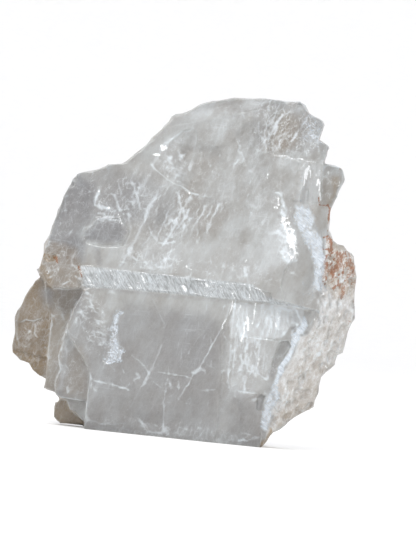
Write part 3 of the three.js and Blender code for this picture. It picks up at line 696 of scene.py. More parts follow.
# %% Veils in the lower plates
VEILS |= {
    "front_plate": [
        (1.0, 0.45, [(-30, 118), (-22, 104), (-16, 95), (-17, 92)]),
        (0.6, 0.35, [(-2, 101), (-6, 95)]),
        (0.7, 0.45, [(20, 98), (14, 88), (9, 78), (4, 68), (1, 62)]),
        (0.7, 0.5, [(18, 90), (18.5, 84)]),
        (0.9, 0.6, [(38, 119), (35, 107), (32, 98), (29, 90), (24, 78), (19, 67), (16, 61), (12, 55), (9, 48),
                    (5, 40), (2, 33)]),
        (2.0, 0.65, [(12, 58), (17, 62), (22, 60)]),
        (1.8, 0.5, [(-17, 77), (-20, 68), (-23, 57), (-27, 48)]),
        (1.8, 0.35, [(-27, 48), (-33, 35), (-39, 20)]),
        (1.2, 0.55, [(-41, 66), (-35, 63), (-28, 57), (-25, 53)]),
        (2.0, 0.55, [(-35, 51), (-34, 48)]),
        (0.8, 0.4, [(-38, 48), (-37, 45)]),
        (0.8, 0.6, [(-18, 55), (-5, 54), (10, 53)]),
        (1.0, 0.5, [(-9, 60), (-8.5, 54), (-10, 45), (-9.5, 30), (-8.5, 15), (-8, 5)]),
        (2.2, 0.45, [(-7, 48), (-5, 42)]),
        (1.5, 0.5, [(1, 48), (1, 43)]),
        (1.0, 0.5, [(-20, 46), (-14, 42)]),
        (0.6, 0.4, [(-6, 34), (0, 40), (5, 47)]),
        (0.6, 0.35, [(3, 32), (12, 31)]),
        (0.9, 0.5, [(16, 44), (22, 43.5), (32, 45)]),
        (0.7, 0.4, [(22, 66), (34, 61), (38, 62)]),
        (1.2, 0.5, [(36, 62), (37, 60)]),
        (1.8, 0.45, [(42, 63), (42, 59)]),
        (1.0, 0.3, [(11, 28), (11, 4)]),
        (1.0, 0.3, [(23, 18), (23, 4)]),
        (1.0, 0.3, [(33, 17), (33, 4)]),
        (1.6, 0.25, [(-14, 22), (-15, 4)]),
        (2.4, 0.55, [(-29, 12), (-24, 8)]),
        (2.2, 0.55, [(-6, 8), (-4, 3)]),
        (0.8, 0.5, [(-30, 3), (-20, 3), (-10, 3.5)]),
        (1.2, 0.4, [(-72, 8), (-60, 6), (-50, 7), (-38, 9)]),
        (0.9, 0.4, [(-60, 3), (-50, 3)]),
        (0.8, 0.65, [(-75, 46), (-72, 42), (-60, 40.5), (-50, 39), (-41, 37)]),
        (0.8, 0.5, [(-58, 56), (-53, 51)]),
        (1.1, 0.55, [(-48, 54), (-46, 51)]),
        (1.5, 0.55, [(-66, 118), (-62, 117)]),
        (1.2, 0.35, [(-66, 106), (-63, 103)]),
        (2.8, 0.35, [(-66, 54), (-67, 40), (-68, 30)]),
        (1.0, 0.4, [(-35, 119), (-30, 112)]),
        (0.7, 0.4, [(-27, 117), (-24, 112)]),
    ],
    "left_plates": [
        (0.8, 0.7, [(-88, 98), (-83.5, 92)]),
        (1.3, 0.55, [(-91, 93), (-90, 86)]),
        (1.0, 0.6, [(-75, 92.5), (-70, 92.5)]),
        (1.0, 0.6, [(-77, 82), (-74, 80.5)]),
        (0.8, 0.5, [(-82, 108), (-78, 102)]),
        (1.3, 0.55, [(-90, 110), (-96, 100), (-97, 92), (-99, 82), (-102, 73), (-100, 70), (-103, 62),
                     (-102, 54), (-100, 49), (-104, 38), (-104, 30)]),
        (0.9, 0.5, [(-75, 48), (-72, 36), (-68, 33)]),
        (0.7, 0.4, [(-90, 66), (-84, 64), (-82, 69)]),
        (2.6, 0.35, [(-96, 66), (-97, 54), (-98, 42), (-99, 32)]),
        (0.6, 0.3, [(-92, 44), (-82, 43), (-74, 44)]),
        (0.6, 0.3, [(-92, 50.5), (-74, 50.5)]),
        (0.8, 0.6, [(-99, 24), (-88, 24), (-76, 22.5)]),
        (1.7, 0.4, [(-74.5, 42), (-74, 20), (-74, 4)]),
        (0.9, 0.7, [(-140, 84), (-136, 86), (-127, 86.5), (-122, 89)]),
        (0.7, 0.6, [(-127, 83), (-126.5, 76), (-124.5, 73)]),
        (0.6, 0.5, [(-131, 77), (-136, 70)]),
        (1.6, 0.45, [(-138, 108), (-141, 98), (-143, 85), (-142, 72), (-139, 64)]),
        (1.1, 0.6, [(-121.5, 114), (-120.5, 112)]),
        (1.8, 0.5, [(-113, 92), (-112.5, 51)]),
        (0.8, 0.5, [(-112, 92), (-107, 94), (-101, 94)]),
        (0.8, 0.45, [(-113, 50), (-107, 50)]),
        (0.6, 0.4, [(-127, 144.7), (-112, 145)]),
        (0.8, 0.45, [(-120, 137), (-96, 137)]),
        (0.8, 0.5, [(-114, 115.5), (-100, 116.5), (-87, 118)]),
        (1.4, 0.55, [(-96, 128), (-92, 126)]),
        (1.0, 0.5, [(-92, 137), (-90, 135)]),
        (2.0, 0.35, [(-120, 133), (-119, 129)]),
    ],
    "right_plate": [
        (0.8, 0.55, [(41.5, 122), (41, 100), (41.5, 80), (42, 52)]),
        (0.8, 0.45, [(45, 122), (45.5, 100), (45, 80), (46, 60)]),
        (0.8, 0.6, [(69, 118), (66, 110), (63, 102)]),
        (0.7, 0.6, [(70, 120), (75, 113)]),
        (0.8, 0.75, [(73.7, 110), (73, 102), (71, 94)]),
        (0.8, 0.55, [(79, 120), (80.5, 112), (80, 104), (77, 95)]),
        (1.3, 0.8, [(81, 120), (86, 118), (90, 118)]),
        (0.7, 0.6, [(88, 112), (87, 105), (85, 98)]),
        (1.4, 0.75, [(92, 121), (95, 117), (98, 112), (102, 106)]),
        (1.0, 0.7, [(96, 107), (92, 101)]),
        (0.7, 0.6, [(50, 92.5), (66, 92), (82, 91), (88, 93), (92, 94)]),
        (1.2, 0.5, [(66, 95), (66, 85), (66, 78)]),
        (1.5, 0.7, [(65, 66), (65, 63)]),
        (1.1, 0.7, [(67, 62), (70, 60), (75, 58)]),
        (3.0, 0.3, [(64, 98), (65, 70), (64, 44)]),
        (0.9, 0.5, [(71, 80), (71, 62)]),
        (0.9, 0.5, [(74, 80), (73, 62)]),
        (0.9, 0.45, [(77, 70), (76, 60)]),
        (0.7, 0.5, [(52, 73), (54, 70), (57, 69.5)]),
        (0.7, 0.5, [(62, 69), (62, 66)]),
        (0.7, 0.4, [(50, 65), (56, 63), (62, 63.5)]),
        (0.7, 0.4, [(55.5, 62), (55.5, 57)]),
        (0.7, 0.5, [(52, 45.5), (60, 45), (76, 46)]),
        (2.2, 0.3, [(56, 58), (57, 46)]),
        (1.4, 0.4, [(66, 40), (66, 36)]),
        (1.6, 0.4, [(55, 4), (64, 5), (74, 8)]),
        (0.7, 0.55, [(98, 133), (106, 140)]),
        (0.7, 0.5, [(101, 132), (107, 138)]),
        (0.7, 0.5, [(103, 142), (107, 146)]),
        (0.8, 0.5, [(70, 123), (80, 122), (99, 121.5), (112, 120)]),
    ],
}
print(sum(len(group) for group in VEILS.values()), "veils in all")

# %% [markdown]
# Between the cracks that can be told apart lie hundreds of short ones. They are too many to place by hand,
# so they are scattered, each kind in its own part of the slab and in the direction it has there.

# %% [markdown]
# Between the cracks that are placed one by one are hundreds too small to place. Each row gives how many there
# are, their length in mm, their tilt and its spread in degrees, their strength, a seed and the ring that they
# lie in. A seed makes the same cracks on every run.

# %% Scattered small cracks
CLUSTER = [(-90, 206), (-86, 184), (-62, 174), (-46, 186), (-50, 214), (-66, 218)]
ABOVE_LEDGE = [(-60, 140), (-56, 158), (-10, 154), (60, 152), (78, 142), (56, 138)]
LEDGE = [(-90, 136), (-86, 123), (40, 124.5), (66, 125), (54, 135)]
RING_FIELD = [(66, 216), (72, 192), (70, 176), (74, 160), (86, 158), (90, 168), (86, 182), (80, 196),
              (74, 216)]
SCATTERED_VEILS = {
    "cobweb": (40, 9, 100, 50, 0.38, 301, CLUSTER),
    "middle_cobweb": (26, 8, 75, 35, 0.4, 303, [(-24, 210), (-22, 168), (-8, 176), (-4, 210)]),
    "steep": (50, 28, 68, 2, 0.42, 305, [(-50, 150), (-40, 205), (24, 205), (14, 168), (-20, 150)]),
    "in_the_scar": (26, 6, 60, 60, 0.45, 307, [(-34, 240), (-30, 224), (-12, 214), (-9, 236), (-22, 250)]),
    "above_ledge": (70, 6, 80, 40, 0.55, 309, ABOVE_LEDGE),
    "top_right": (60, 6, 70, 45, 0.42, 311, [(42, 294), (46, 252), (100, 250), (102, 280), (80, 295)]),
    "top_streaks": (40, 14, 63, 6, 0.5, 313, [(54, 284), (46, 252), (78, 252), (84, 284)]),
    "round_ring": (60, 6, 70, 50, 0.6, 315, RING_FIELD),
    "upper_left": (70, 8, 60, 60, 0.36, 317, [(-122, 162), (-104, 214), (-70, 226), (-52, 214), (-60, 150)]),
    "middle": (110, 7, 75, 45, 0.5, 319, [(-40, 170), (-10, 270), (40, 285), (84, 240), (70, 170),
                                          (50, 145)]),
    "left_block": (40, 6, 30, 60, 0.4, 321, [(-128, 118), (-126, 158), (-90, 154), (-88, 120)]),
    "waves": (110, 4, 155, 25, 0.45, 323, WAVES),
    "left_steps": (90, 7, 80, 45, 0.45, 325, [(-144, 60), (-132, 112), (-86, 116), (-76, 24), (-102, 26)]),
    "plate_streaks": (70, 18, 88, 4, 0.6, 327, [(40, 122), (40, 60), (60, 48), (84, 90), (100, 121)]),
    "plate_flecks": (60, 5, 70, 50, 0.55, 329, [(40, 122), (40, 46), (72, 34), (90, 90), (100, 121)]),
    "front_plate_small": (90, 9, 68, 35, 0.42, 331, [(-70, 8), (-44, 118), (36, 118), (38, 6)]),
    "foot_of_plate": (46, 6, 10, 25, 0.45, 333, [(-72, 1), (-72, 12), (70, 12), (74, 1)]),
    "ledge_splinters": (60, 7, 122, 10, 0.45, 335, LEDGE),
    "flank_flow": (170, 4, 66, 30, 0.5, 337, [(116, 160), (104, 96), (84, 30), (100, 34), (140, 110),
                                              (142, 160)]),
}
VEILS |= {name: scatter(*row) for name, row in SCATTERED_VEILS.items()}
print({name: len(group) for name, group in VEILS.items()})

# %% [markdown]
# A glint is a painted highlight: where a crack or a splinter happens to face the light, the colour is painted
# pure white in place of the reflection.

# %% Glints, which are painted highlights
GLINTS = {
    "blocks": [
        (1.3, 1.0, [(91.5, 243), (89.5, 238), (89, 232), (89, 226)]),
        (1.2, 1.0, [(90.5, 240), (90.5, 231)]),
        (0.7, 0.9, [(93, 239), (93.5, 233)]),
        (0.8, 0.7, [(93, 229.5), (93, 228)]),
        (0.8, 0.7, [(98.5, 237), (98.5, 235)]),
        (1.2, 1.0, [(101.5, 232), (100, 227)]),
        (1.0, 0.95, [(102.5, 230), (103, 223), (104.5, 215)]),
        (0.8, 0.8, [(109, 240), (109.5, 232)]),
        (0.8, 0.75, [(119.5, 233), (118.5, 228)]),
        (0.7, 0.75, [(60, 250), (61.5, 248), (65.5, 248.5), (72, 249), (79, 247), (84, 248), (88, 246.5),
                     (97, 247)]),
        (0.8, 0.7, [(57, 230), (58, 226)]),
        (0.9, 0.8, [(57.5, 232), (57.6, 231)]),
    ],
    "ring": [
        (0.9, 0.5, [(73.5, 197), (76, 194), (77, 190)]),
        (1.2, 0.6, [(78, 188), (80, 183), (82, 180)]),
        (1.6, 0.7, [(84, 177), (86.5, 172), (87.5, 167)]),
        (1.2, 0.6, [(87, 165), (85, 161), (82, 159.5)]),
        (0.9, 0.4, [(76, 167), (79, 163)]),
        (1.1, 0.8, [(68, 212), (69.5, 207)]),
        (0.9, 0.8, [(66, 213), (65.5, 212.5)]),
        (0.9, 0.7, [(72, 193), (76, 191)]),
        (0.9, 0.6, [(66, 205), (68, 204)]),
    ],
    "scar": [
        (1.6, 1.0, [(-40, 238), (-35.5, 238)]),
        (1.5, 1.0, [(-35, 246), (-34, 243)]),
        (1.0, 0.7, [(-31.5, 246), (-31, 245)]),
        (0.9, 0.7, [(-11, 210), (-7, 208.5)]),
        (0.9, 0.6, [(-57, 233), (-56, 231)]),
        (0.8, 0.6, [(-51, 233.5), (-50.5, 232.5)]),
        (0.9, 0.5, [(-66, 185), (-63, 180), (-59, 174), (-56.5, 170)]),
        (0.9, 0.8, [(-84, 202), (-83.5, 201)]),
        (0.9, 0.8, [(-75, 189), (-73.5, 189)]),
    ],
    "ledge": [
        (1.2, 1.0, [(-40, 134.5), (-37, 129)]),
        (1.5, 1.0, [(-4.5, 129.5), (-1, 125.5)]),
        (0.7, 0.5, [(-27, 130), (-23, 126)]),
        (0.7, 0.5, [(-10, 135), (-3, 129)]),
        (0.7, 0.5, [(8, 133), (12, 126)]),
        (1.5, 0.6, [(11, 134), (14, 130)]),
        (1.3, 0.5, [(16, 134), (17, 131)]),
        (0.8, 0.5, [(18, 131), (21, 126)]),
        (0.8, 0.5, [(28, 133), (31, 126)]),
        (0.7, 0.5, [(33, 133), (38, 126)]),
        (0.7, 0.5, [(36, 134), (41, 127)]),
        (0.7, 0.45, [(42, 133), (45, 128)]),
        (0.9, 0.9, [(52, 134.5), (53, 132)]),
        (0.9, 0.9, [(52.5, 128), (53.2, 125.5)]),
        (0.7, 0.6, [(57, 134), (59, 127), (61, 124)]),
        (0.7, 0.6, [(60, 134), (64, 130)]),
        (0.7, 0.6, [(62, 129), (66, 124)]),
        (0.7, 0.6, [(-40, 136.7), (-8, 137), (20, 135.7), (40, 136), (50, 136.5), (58, 135), (64, 131),
                    (68, 126)]),
        (0.7, 0.5, [(-88, 122), (-60, 122.5), (-40, 124), (10, 124), (20, 123), (38, 124), (70, 124)]),
        (0.8, 0.5, [(-92, 137.5), (-78, 139), (-60, 137), (-48, 137.5), (-40, 136.7)]),
        (1.0, 0.9, [(-4, 146.5), (-2.5, 145)]),
        (0.8, 0.6, [(-1, 145), (2, 143.5)]),
        (0.8, 0.5, [(37, 137), (38, 137)]),
        (0.9, 0.6, [(70, 138.5), (70.5, 137.5)]),
        (0.9, 0.5, [(45, 144.5), (45.3, 143.5)]),
    ],
    "plates": [
        (0.8, 0.8, [(38.5, 123), (38, 110)]),
        (0.9, 0.8, [(41, 119), (41.3, 118)]),
        (0.8, 0.8, [(35, 106), (33, 100), (33, 97)]),
        (0.7, 0.5, [(39, 108), (36, 100)]),
        (0.8, 0.8, [(58.8, 122), (58, 104)]),
        (1.2, 0.95, [(53, 109), (54.5, 104), (54.5, 98)]),
        (0.8, 0.75, [(52, 105), (51, 95), (50, 88)]),
        (0.8, 0.6, [(54, 104), (58, 104)]),
        (0.8, 0.85, [(66.3, 75), (66.3, 68)]),
        (1.2, 0.7, [(-65, 58.5), (-60, 57)]),
        (1.0, 0.85, [(124, 74.5), (127, 71.5)]),
        (0.9, 0.8, [(92, 91.5), (92.5, 90.5)]),
        (0.9, 0.7, [(95, 97.5), (95.5, 96.5)]),
        (0.9, 0.6, [(100, 50.5), (103.5, 49)]),
        (0.9, 0.6, [(83, 46), (83.6, 45.3)]),
        (0.9, 0.5, [(86, 35), (85, 33)]),
        (0.8, 0.6, [(89, 258), (88.5, 257)]),
        (0.8, 0.7, [(115.5, 182), (115.3, 181)]),
    ],
}
SCATTERED_GLINTS = {
    "ring_shards": (90, 3, 70, 45, 0.6, 341, [(72, 197), (78, 198), (86, 184), (91, 168), (86, 158),
                                              (78, 160), (82, 170), (76, 184)]),
    "ledge_shards": (34, 6, 122, 8, 0.6, 343, LEDGE),
    "flank_shards": (70, 2.5, 66, 35, 0.6, 345, [(116, 170), (100, 92), (84, 30), (106, 36), (142, 110),
                                                 (140, 170)]),
    "upper_dots": (110, 1.0, 70, 50, 0.5, 348, [(-118, 160), (-104, 210), (-40, 250), (10, 290), (80, 290),
                                                (100, 150)]),
    "lower_dots": (60, 1.0, 70, 50, 0.42, 350, [(-96, 30), (-84, 118), (100, 120), (80, 50), (70, 4),
                                                (-70, 4)]),
    "upper_shards": (44, 2.5, 75, 40, 0.5, 347, [(-90, 206), (-60, 174), (60, 140), (84, 200), (60, 290),
                                                 (-40, 236)]),
    "right_shards": (34, 5, 84, 12, 0.5, 349, [(44, 120), (46, 84), (64, 60), (76, 66), (82, 120)]),
}
GLINTS |= {name: scatter(*row) for name, row in SCATTERED_GLINTS.items()}
print(sum(len(group) for group in GLINTS.values()), "glints")

# %% [markdown]
# Iron in the ground left rust in the cracks on the right. Clay stains parts of the slab brown; on the
# recessed plates at the far left, the recessed foot and the underside at the bottom right the brown is also
# painted shade. The grey patches darken the slab softly in places, and under the overhanging left block, on
# the recessed left plates, at the left foot and along the foot of the ledge they are painted shade. Milky
# clouds come from bubbles and cracks deeper in, so they have soft rims.

# %% Stains, grey patches and painted shade
RUST = {
    "left": [
        (1.4, 0.6, [(-116, 142), (-115, 142)]),
        (1.0, 0.6, [(-114, 141), (-112.7, 138.5)]),
        (1.1, 0.55, [(-94.5, 137.5), (-92.5, 132), (-90.5, 128)]),
    ],
    "right_rim": [
        (1.6, 0.9, [(113, 209), (113.5, 202), (115, 197), (114, 190)]),
        (1.0, 0.8, [(103, 217), (104, 211), (112, 210.5), (114, 209)]),
        (1.0, 0.6, [(118.8, 243.5), (118.8, 242.5)]),
        (1.4, 0.8, [(116, 184), (117.5, 180), (117.5, 175)]),
        (1.0, 0.6, [(119.5, 174), (119.5, 171)]),
        (0.8, 0.45, [(141.5, 150), (143, 130), (144.5, 118)]),
        (1.0, 0.4, [(140, 114), (140, 112)]),
    ],
    "flank": scatter(60, 4, 70, 40, 0.75, 351, [(112, 186), (114, 146), (124, 144), (136, 130), (141, 150),
                                                (138, 174), (128, 174)]),
}
RUSTED = [
    (0.66, 2.5, [(121, 174), (131, 173), (131, 160), (126, 156), (117, 154), (118, 159), (124, 162)]),
    (0.55, 2.0, [(119, 148), (121, 146), (125, 156), (122, 158)]),
    (0.52, 2.0, [(131, 147), (135, 145), (134, 134), (130, 130), (129, 136)]),
    (0.5, 3.0, [(133, 175), (139, 172), (142, 154), (135, 150), (132, 162)]),
    (0.42, 2.0, [(112, 168), (118, 168), (117, 144), (112, 142)]),
    (0.2, 4.0, [(112, 186), (113, 206), (118, 196), (120, 176), (140, 174), (144, 140), (128, 130),
                (116, 146)]),
    (0.3, 3.0, [(-120, 144), (-100, 145), (-98, 139), (-114, 138)]),
]
CLAY_AND_SHADE = [
    # brown stain with painted shade on the farthest recessed plates at the left
    (0.95, 5, [(-150, 20), (-114, 20), (-114, 57), (-122, 57.5), (-132, 59), (-150, 62)]),
    (0.75, 6, [(-150, 55), (-114, 55), (-114, 96), (-122, 106), (-128, 126), (-150, 120)]),
    (0.6, 2, [(-119, 56), (-114, 56), (-114.5, 90), (-119, 92)]),
    # brown stain with painted shade at the recessed left foot
    (0.8, 1.2, [(-108, -4), (-76, -4), (-76, 6), (-81, 9), (-89, 15), (-93, 22), (-101, 24), (-108, 24)]),
    (0.36, 6, [(60, 252), (82, 256), (81, 284), (64, 286)]),
    (0.28, 8, [(50, 250), (70, 250), (72, 292), (50, 292)]),
    (0.2, 3, [(104, 211), (124, 211), (124, 240), (104, 238)]),
    (0.5, 1.8, [(113, 236), (118, 237), (118, 226), (116, 219), (113, 210), (110, 212), (114, 222)]),
    (0.3, 2, [(95, 209), (98, 202), (102, 192), (106, 188.5), (111, 190), (113, 199), (112, 209),
              (103, 214)]),
    # brown with painted shade on the underside at the bottom right
    (0.8, 1.5, [(73, -3), (82, -3), (86, 16), (83, 17), (80, 8), (75, 3)]),
    (0.75, 1.2, [(-127, 139), (-113, 139), (-113, 144.7), (-127, 144.7)]),
    (0.5, 4, [(-132, 114), (-88, 118), (-91, 137), (-97, 152), (-128, 156)]),
    # these two: brown stain with painted shade on the recessed plates below the left block
    (0.5, 5, [(-116, 28), (-101, 28), (-101, 60), (-94, 108), (-88, 117), (-116, 116)]),
    (0.35, 6, [(-96, 26), (-76, 26), (-76, 50), (-84, 70), (-94, 68)]),
    (0.3, 4, [(84, 14), (104, 26), (122, 36), (118, 42), (96, 34), (84, 28)]),
    (0.25, 8, [(104, 92), (140, 92), (146, 118), (140, 128), (112, 110)]),
    (0.3, 10, [(84, 50), (110, 90), (140, 90), (130, 40), (90, 20)]),
    (0.5, 6, [(112, 186), (113, 146), (128, 132), (146, 134), (142, 176)]),
    (0.6, 2, [(-130, 133), (-124, 126), (-120, 117), (-114, 115), (-116, 124), (-124, 134)]),
]
GREY_AND_SHADE = [
    (0.4, 5, [(-130, 116), (-127, 160), (-92, 158), (-88, 118)]),
    (0.45, 8, [(-118, 176), (-106, 214), (-70, 226), (-50, 214), (-46, 186), (-60, 174), (-90, 178)]),
    (0.95, 3.5, [(-92, 160), (-91, 166), (-85, 172), (-82, 177), (-70, 178), (-63, 178), (-57, 170),
                 (-60, 160), (-75, 158)]),
    (0.75, 6, [(-126, 140), (-94, 138), (-90, 156), (-96, 166), (-88, 180), (-90, 206), (-104, 216),
              (-118, 190)]),
    (0.4, 3, [(-101, 208), (-88, 209), (-86, 192), (-92, 178), (-98, 188)]),
    (0.5, 2, [(-83, 155), (-78, 154), (-74, 139), (-79, 138)]),
    (0.3, 1.6, [(83.3, 91.7), (90, 91.7), (92.7, 87.7), (89.3, 81), (86, 74.3), (82, 69), (78, 69), (79, 76),
                 (81.3, 85)]),
    (0.35, 1.6, [(70, 44.7), (75.3, 44), (73.3, 36.7), (74, 31.3), (69.3, 31.3), (68.7, 39.3)]),
    (0.4, 1.5, [(90, 116), (95, 116), (97, 106), (92, 101), (90, 104)]),
    (0.5, 1.5, [(75, 68), (82, 68), (80, 60), (76, 60)]),
    # painted shade along the foot of the ledge
    (0.25, 1.5, [(-88, 121), (36, 122), (36, 119), (-88, 118)]),
    (0.6, 9, [(-76, -8), (40, -8), (36, 98), (20, 108), (-50, 110), (-72, 80)]),
    (0.3, 9, [(-10, 104), (26, 100), (22, 62), (-14, 62)]),
    # painted shade on the recessed plates at the left
    (0.5, 8, [(-106, 20), (-76, 20), (-70, 60), (-74, 100), (-90, 108), (-104, 70)]),
    (0.55, 9, [(42, -8), (80, -8), (74, 40), (60, 44), (42, 48)]),
    # painted shadow under the overhanging left block
    (0.75, 4, [(-120, 117), (-86, 117), (-92, 98), (-116, 96)]),
    # painted shade on the farthest plate at the left
    (0.5, 5, [(-146, 40), (-114, 40), (-114, 118), (-130, 126), (-146, 90)]),
    # painted shade at the recessed left foot
    (0.3, 2, [(-108, -4), (-76, -4), (-80, 22), (-106, 24)]),
    (0.2, 8, [(40, 252), (104, 252), (100, 298), (40, 298)]),
    (0.3, 5, [(64, 254), (84, 254), (86, 282), (68, 284)]),
    (0.46, 12, [(-90, 176), (-20, 176), (-20, 206), (-40, 222), (-70, 210)]),
]
MILK = [
    (0.35, 4, [(-50, 139), (60, 138), (76, 150), (70, 168), (30, 172), (-40, 166)]),
    (0.7, 1.2, [(39, 121), (38, 92), (60, 90), (84, 94), (96, 108), (100, 121)]),
    (0.4, 6, [(42, 93), (44, 60), (46, 40), (64, 42), (78, 52), (82, 92)]),
    (0.62, 7, [(68, 196), (62, 184), (58, 172), (70, 158), (88, 158), (88, 176), (80, 190)]),
    (0.25, 12, [(-40, 228), (-60, 214), (-30, 276), (10, 292), (0, 262), (-30, 256)]),
    (0.12, 2, [(-50, 136), (54, 136), (66, 126), (60, 124), (-60, 124)]),
    (0.5, 5, [(84, 247), (84, 206), (104, 206), (104, 247)]),
]
CRACKLED = [
    (0.6, 6, CLUSTER),
    (0.5, 6, [(-34, 246), (-36, 226), (-14, 212), (-8, 236), (-20, 258)]),
    (0.6, 5, [(-22, 210), (-22, 168), (-8, 176), (-2, 210)]),
    (0.8, 5, ABOVE_LEDGE),
    (0.5, 4, [(-126, 136), (-92, 137), (54, 137), (68, 126), (40, 122), (-90, 120), (-128, 118)]),
    (0.9, 5, RING_FIELD),
    (0.8, 8, [(44, 298), (46, 250), (104, 246), (104, 280), (84, 298)]),
    (0.7, 5, [(84, 248), (84, 206), (112, 208), (124, 246)]),
    (0.9, 5, WAVES),
    (0.6, 8, [(40, 122), (40, 50), (70, 40), (94, 90), (104, 121)]),
    (0.4, 8, [(-144, 50), (-134, 120), (-124, 160), (-90, 160), (-86, 100), (-76, 20), (-106, 20)]),
    (0.6, 6, [(112, 186), (84, 52), (78, 0), (160, 20), (160, 186)]),
    (0.35, 10, [(-120, 160), (-106, 214), (-60, 224), (-40, 250), (0, 290), (60, 296), (84, 240), (90, 150)]),
    (0.4, 3, [(-74, -2), (-74, 12), (76, 12), (78, -2)]),
]
PITS = {
    "top_right": [
        (1.6, 0.7, [(71, 264.5), (72, 264)]),
        (1.0, 0.6, [(73.4, 252.7), (73.8, 252.7)]),
        (1.2, 0.5, [(79, 259), (80, 258.5)]),
        (1.3, 0.6, [(85, 264), (86.5, 263)]),
        (1.6, 0.6, [(94, 278), (98, 277)]),
        (1.0, 0.5, [(93, 264), (95, 262)]),
    ],
    "lower": [
        (0.9, 0.6, [(-56, 69), (-54, 67)]),
        (0.9, 0.6, [(-58, 66), (-56, 65)]),
        (0.8, 0.5, [(-65, 87), (-62, 86)]),
        (0.8, 0.5, [(-74, 87), (-71, 86)]),
        (0.9, 0.6, [(-72.5, 36.5), (-71.5, 35)]),
        (0.9, 0.5, [(0.5, 44.5), (1, 43.5)]),
        (0.8, 0.5, [(-6, 2.5), (-3, 2.2)]),
        (1.0, 0.6, [(-89, 14), (-84, 13)]),
        (1.0, 0.5, [(74, 12), (77, 8)]),
        (0.9, 0.6, [(78, 66), (77, 63)]),
        (0.9, 0.5, [(96, 46), (97, 44)]),
        (1.0, 0.4, [(100, 74), (104, 72)]),
    ],
}

BACK_FACE = [(-110, 10), (-134, 80), (-110, 190), (-60, 226), (0, 284), (80, 286), (110, 200), (132, 120),
             (80, 10)]
BACK_VEILS = {
    "long": scatter(60, 40, 68, 5, 0.5, 361, BACK_FACE),
    "short": scatter(60, 8, 75, 45, 0.4, 363, BACK_FACE),
}
from_behind = smooth(0.3, 0.7, normals[:, 1])
ledge_share = smooth(-1.0, 1.0, depth_inside(x, z, TORN["ledge"])) * (front > 0.2)
veil = strokes(points, VEILS, 201) * (1 - from_behind) + strokes(points, BACK_VEILS, 205) * from_behind

channels = {
    "veil": veil,
    "glint": strokes(points, GLINTS, 211) * (front > 0.2),
    "rust": np.maximum(strokes(points, RUST, 221, 0.9), patches(points, RUSTED, 225)) * (front > 0.05),
    "pit": strokes(points, PITS, 231) * (front > 0.2),
    "frost": patches(points, FROSTED, 241, 1.2) * (front > 0.1),
    "clay_and_shade": patches(points, CLAY_AND_SHADE, 251, 1.4),
    "grey_and_shade": patches(points, GREY_AND_SHADE, 261, 1.2) * (front > 0.2),
    "milk": patches(points, MILK, 271, 2.0) * (front > 0.2),
    "ledge": ledge_share,
    "crackle": np.maximum(patches(points, CRACKLED, 281, 3.0), 0.9 * from_behind),
    "back": from_behind,
}
for name, values in channels.items():
    store(crystal.data, name, values)
print({name: values.mean().round(3) for name, values in channels.items()})

# %% [markdown]
# Selenite is gypsum, with an IOR of about 1.52. Clear parts let light through and look glassy. Parts full
# of fine cracks scatter it and look white and matt, a little blue, like snow. So one material covers the
# whole slab, and its channels decide how much light goes through, how rough it is and what colour it has.
#
# Each pattern first gets coordinates of its own, in real sizes: a tilt from the upright in degrees, then how
# wide, deep and long its lumps are in mm. Cleavage tilts by about 20 degrees, the frost flows at 125 and the
# ledge's splinters lean 32 the other way. The real grit is a few tenths of a millimetre, too fine for this
# picture, so the grain is drawn at about a millimetre.

# %% Selenite: noises
selenite, tree = new_material("selenite_clear_gypsum")
place = add(tree, "TexCoord").outputs["Object"]


axes = {}
for name, tilt, across, deep, along in (
    ("grain", 20, 0.9, 0.9, 1.3), ("blotch", 20, 4.5, 4.5, 6.5), ("cloud", 20, 16, 30, 34),
    ("flow", 125, 0.9, 4.0, 9), ("splinter", -32, 1.0, 4.0, 8), ("steep_crack", 21, 0.9, 30, 40),
    ("level_crack", 90, 0.9, 30, 24), ("upright_crack", 3, 0.8, 30, 22), ("striae", 90, 1.2, 5, 30),
):
    axes[name] = add(tree, "Mapping", {
        "Vector": place, "Rotation": (0, math.radians(tilt), 0),
        "Scale": (across * MM, deep * MM, along * MM),
    }, vector_type="TEXTURE").outputs["Vector"]

noises, spread_out = {}, {}
for name, detail, low_end, high_end in (
    ("grain", 2.0, 0.36, 0.64), ("blotch", 4.0, 0.36, 0.64), ("cloud", 4.0, 0.34, 0.66),
    ("flow", 2.0, 0.36, 0.64), ("splinter", 2.0, 0.38, 0.62),
):
    noises[name] = add(tree, "TexNoise", {
        "Vector": axes[name], "Scale": 1.0, "Detail": detail, "Roughness": 0.6,
    })
    spread_out[name] = add(tree, "MapRange", {
        "Value": noises[name].outputs["Fac"], "From Min": low_end, "From Max": high_end,
    }).outputs[0]
print("noises:", sorted(noises))

# %% [markdown]
# A painted channel gives only the rough place of a crack or a patch of frost. Its edge is made ragged here:
# the channel has to be higher than a fine noise to show, so where it fades it breaks into islands and flecks.

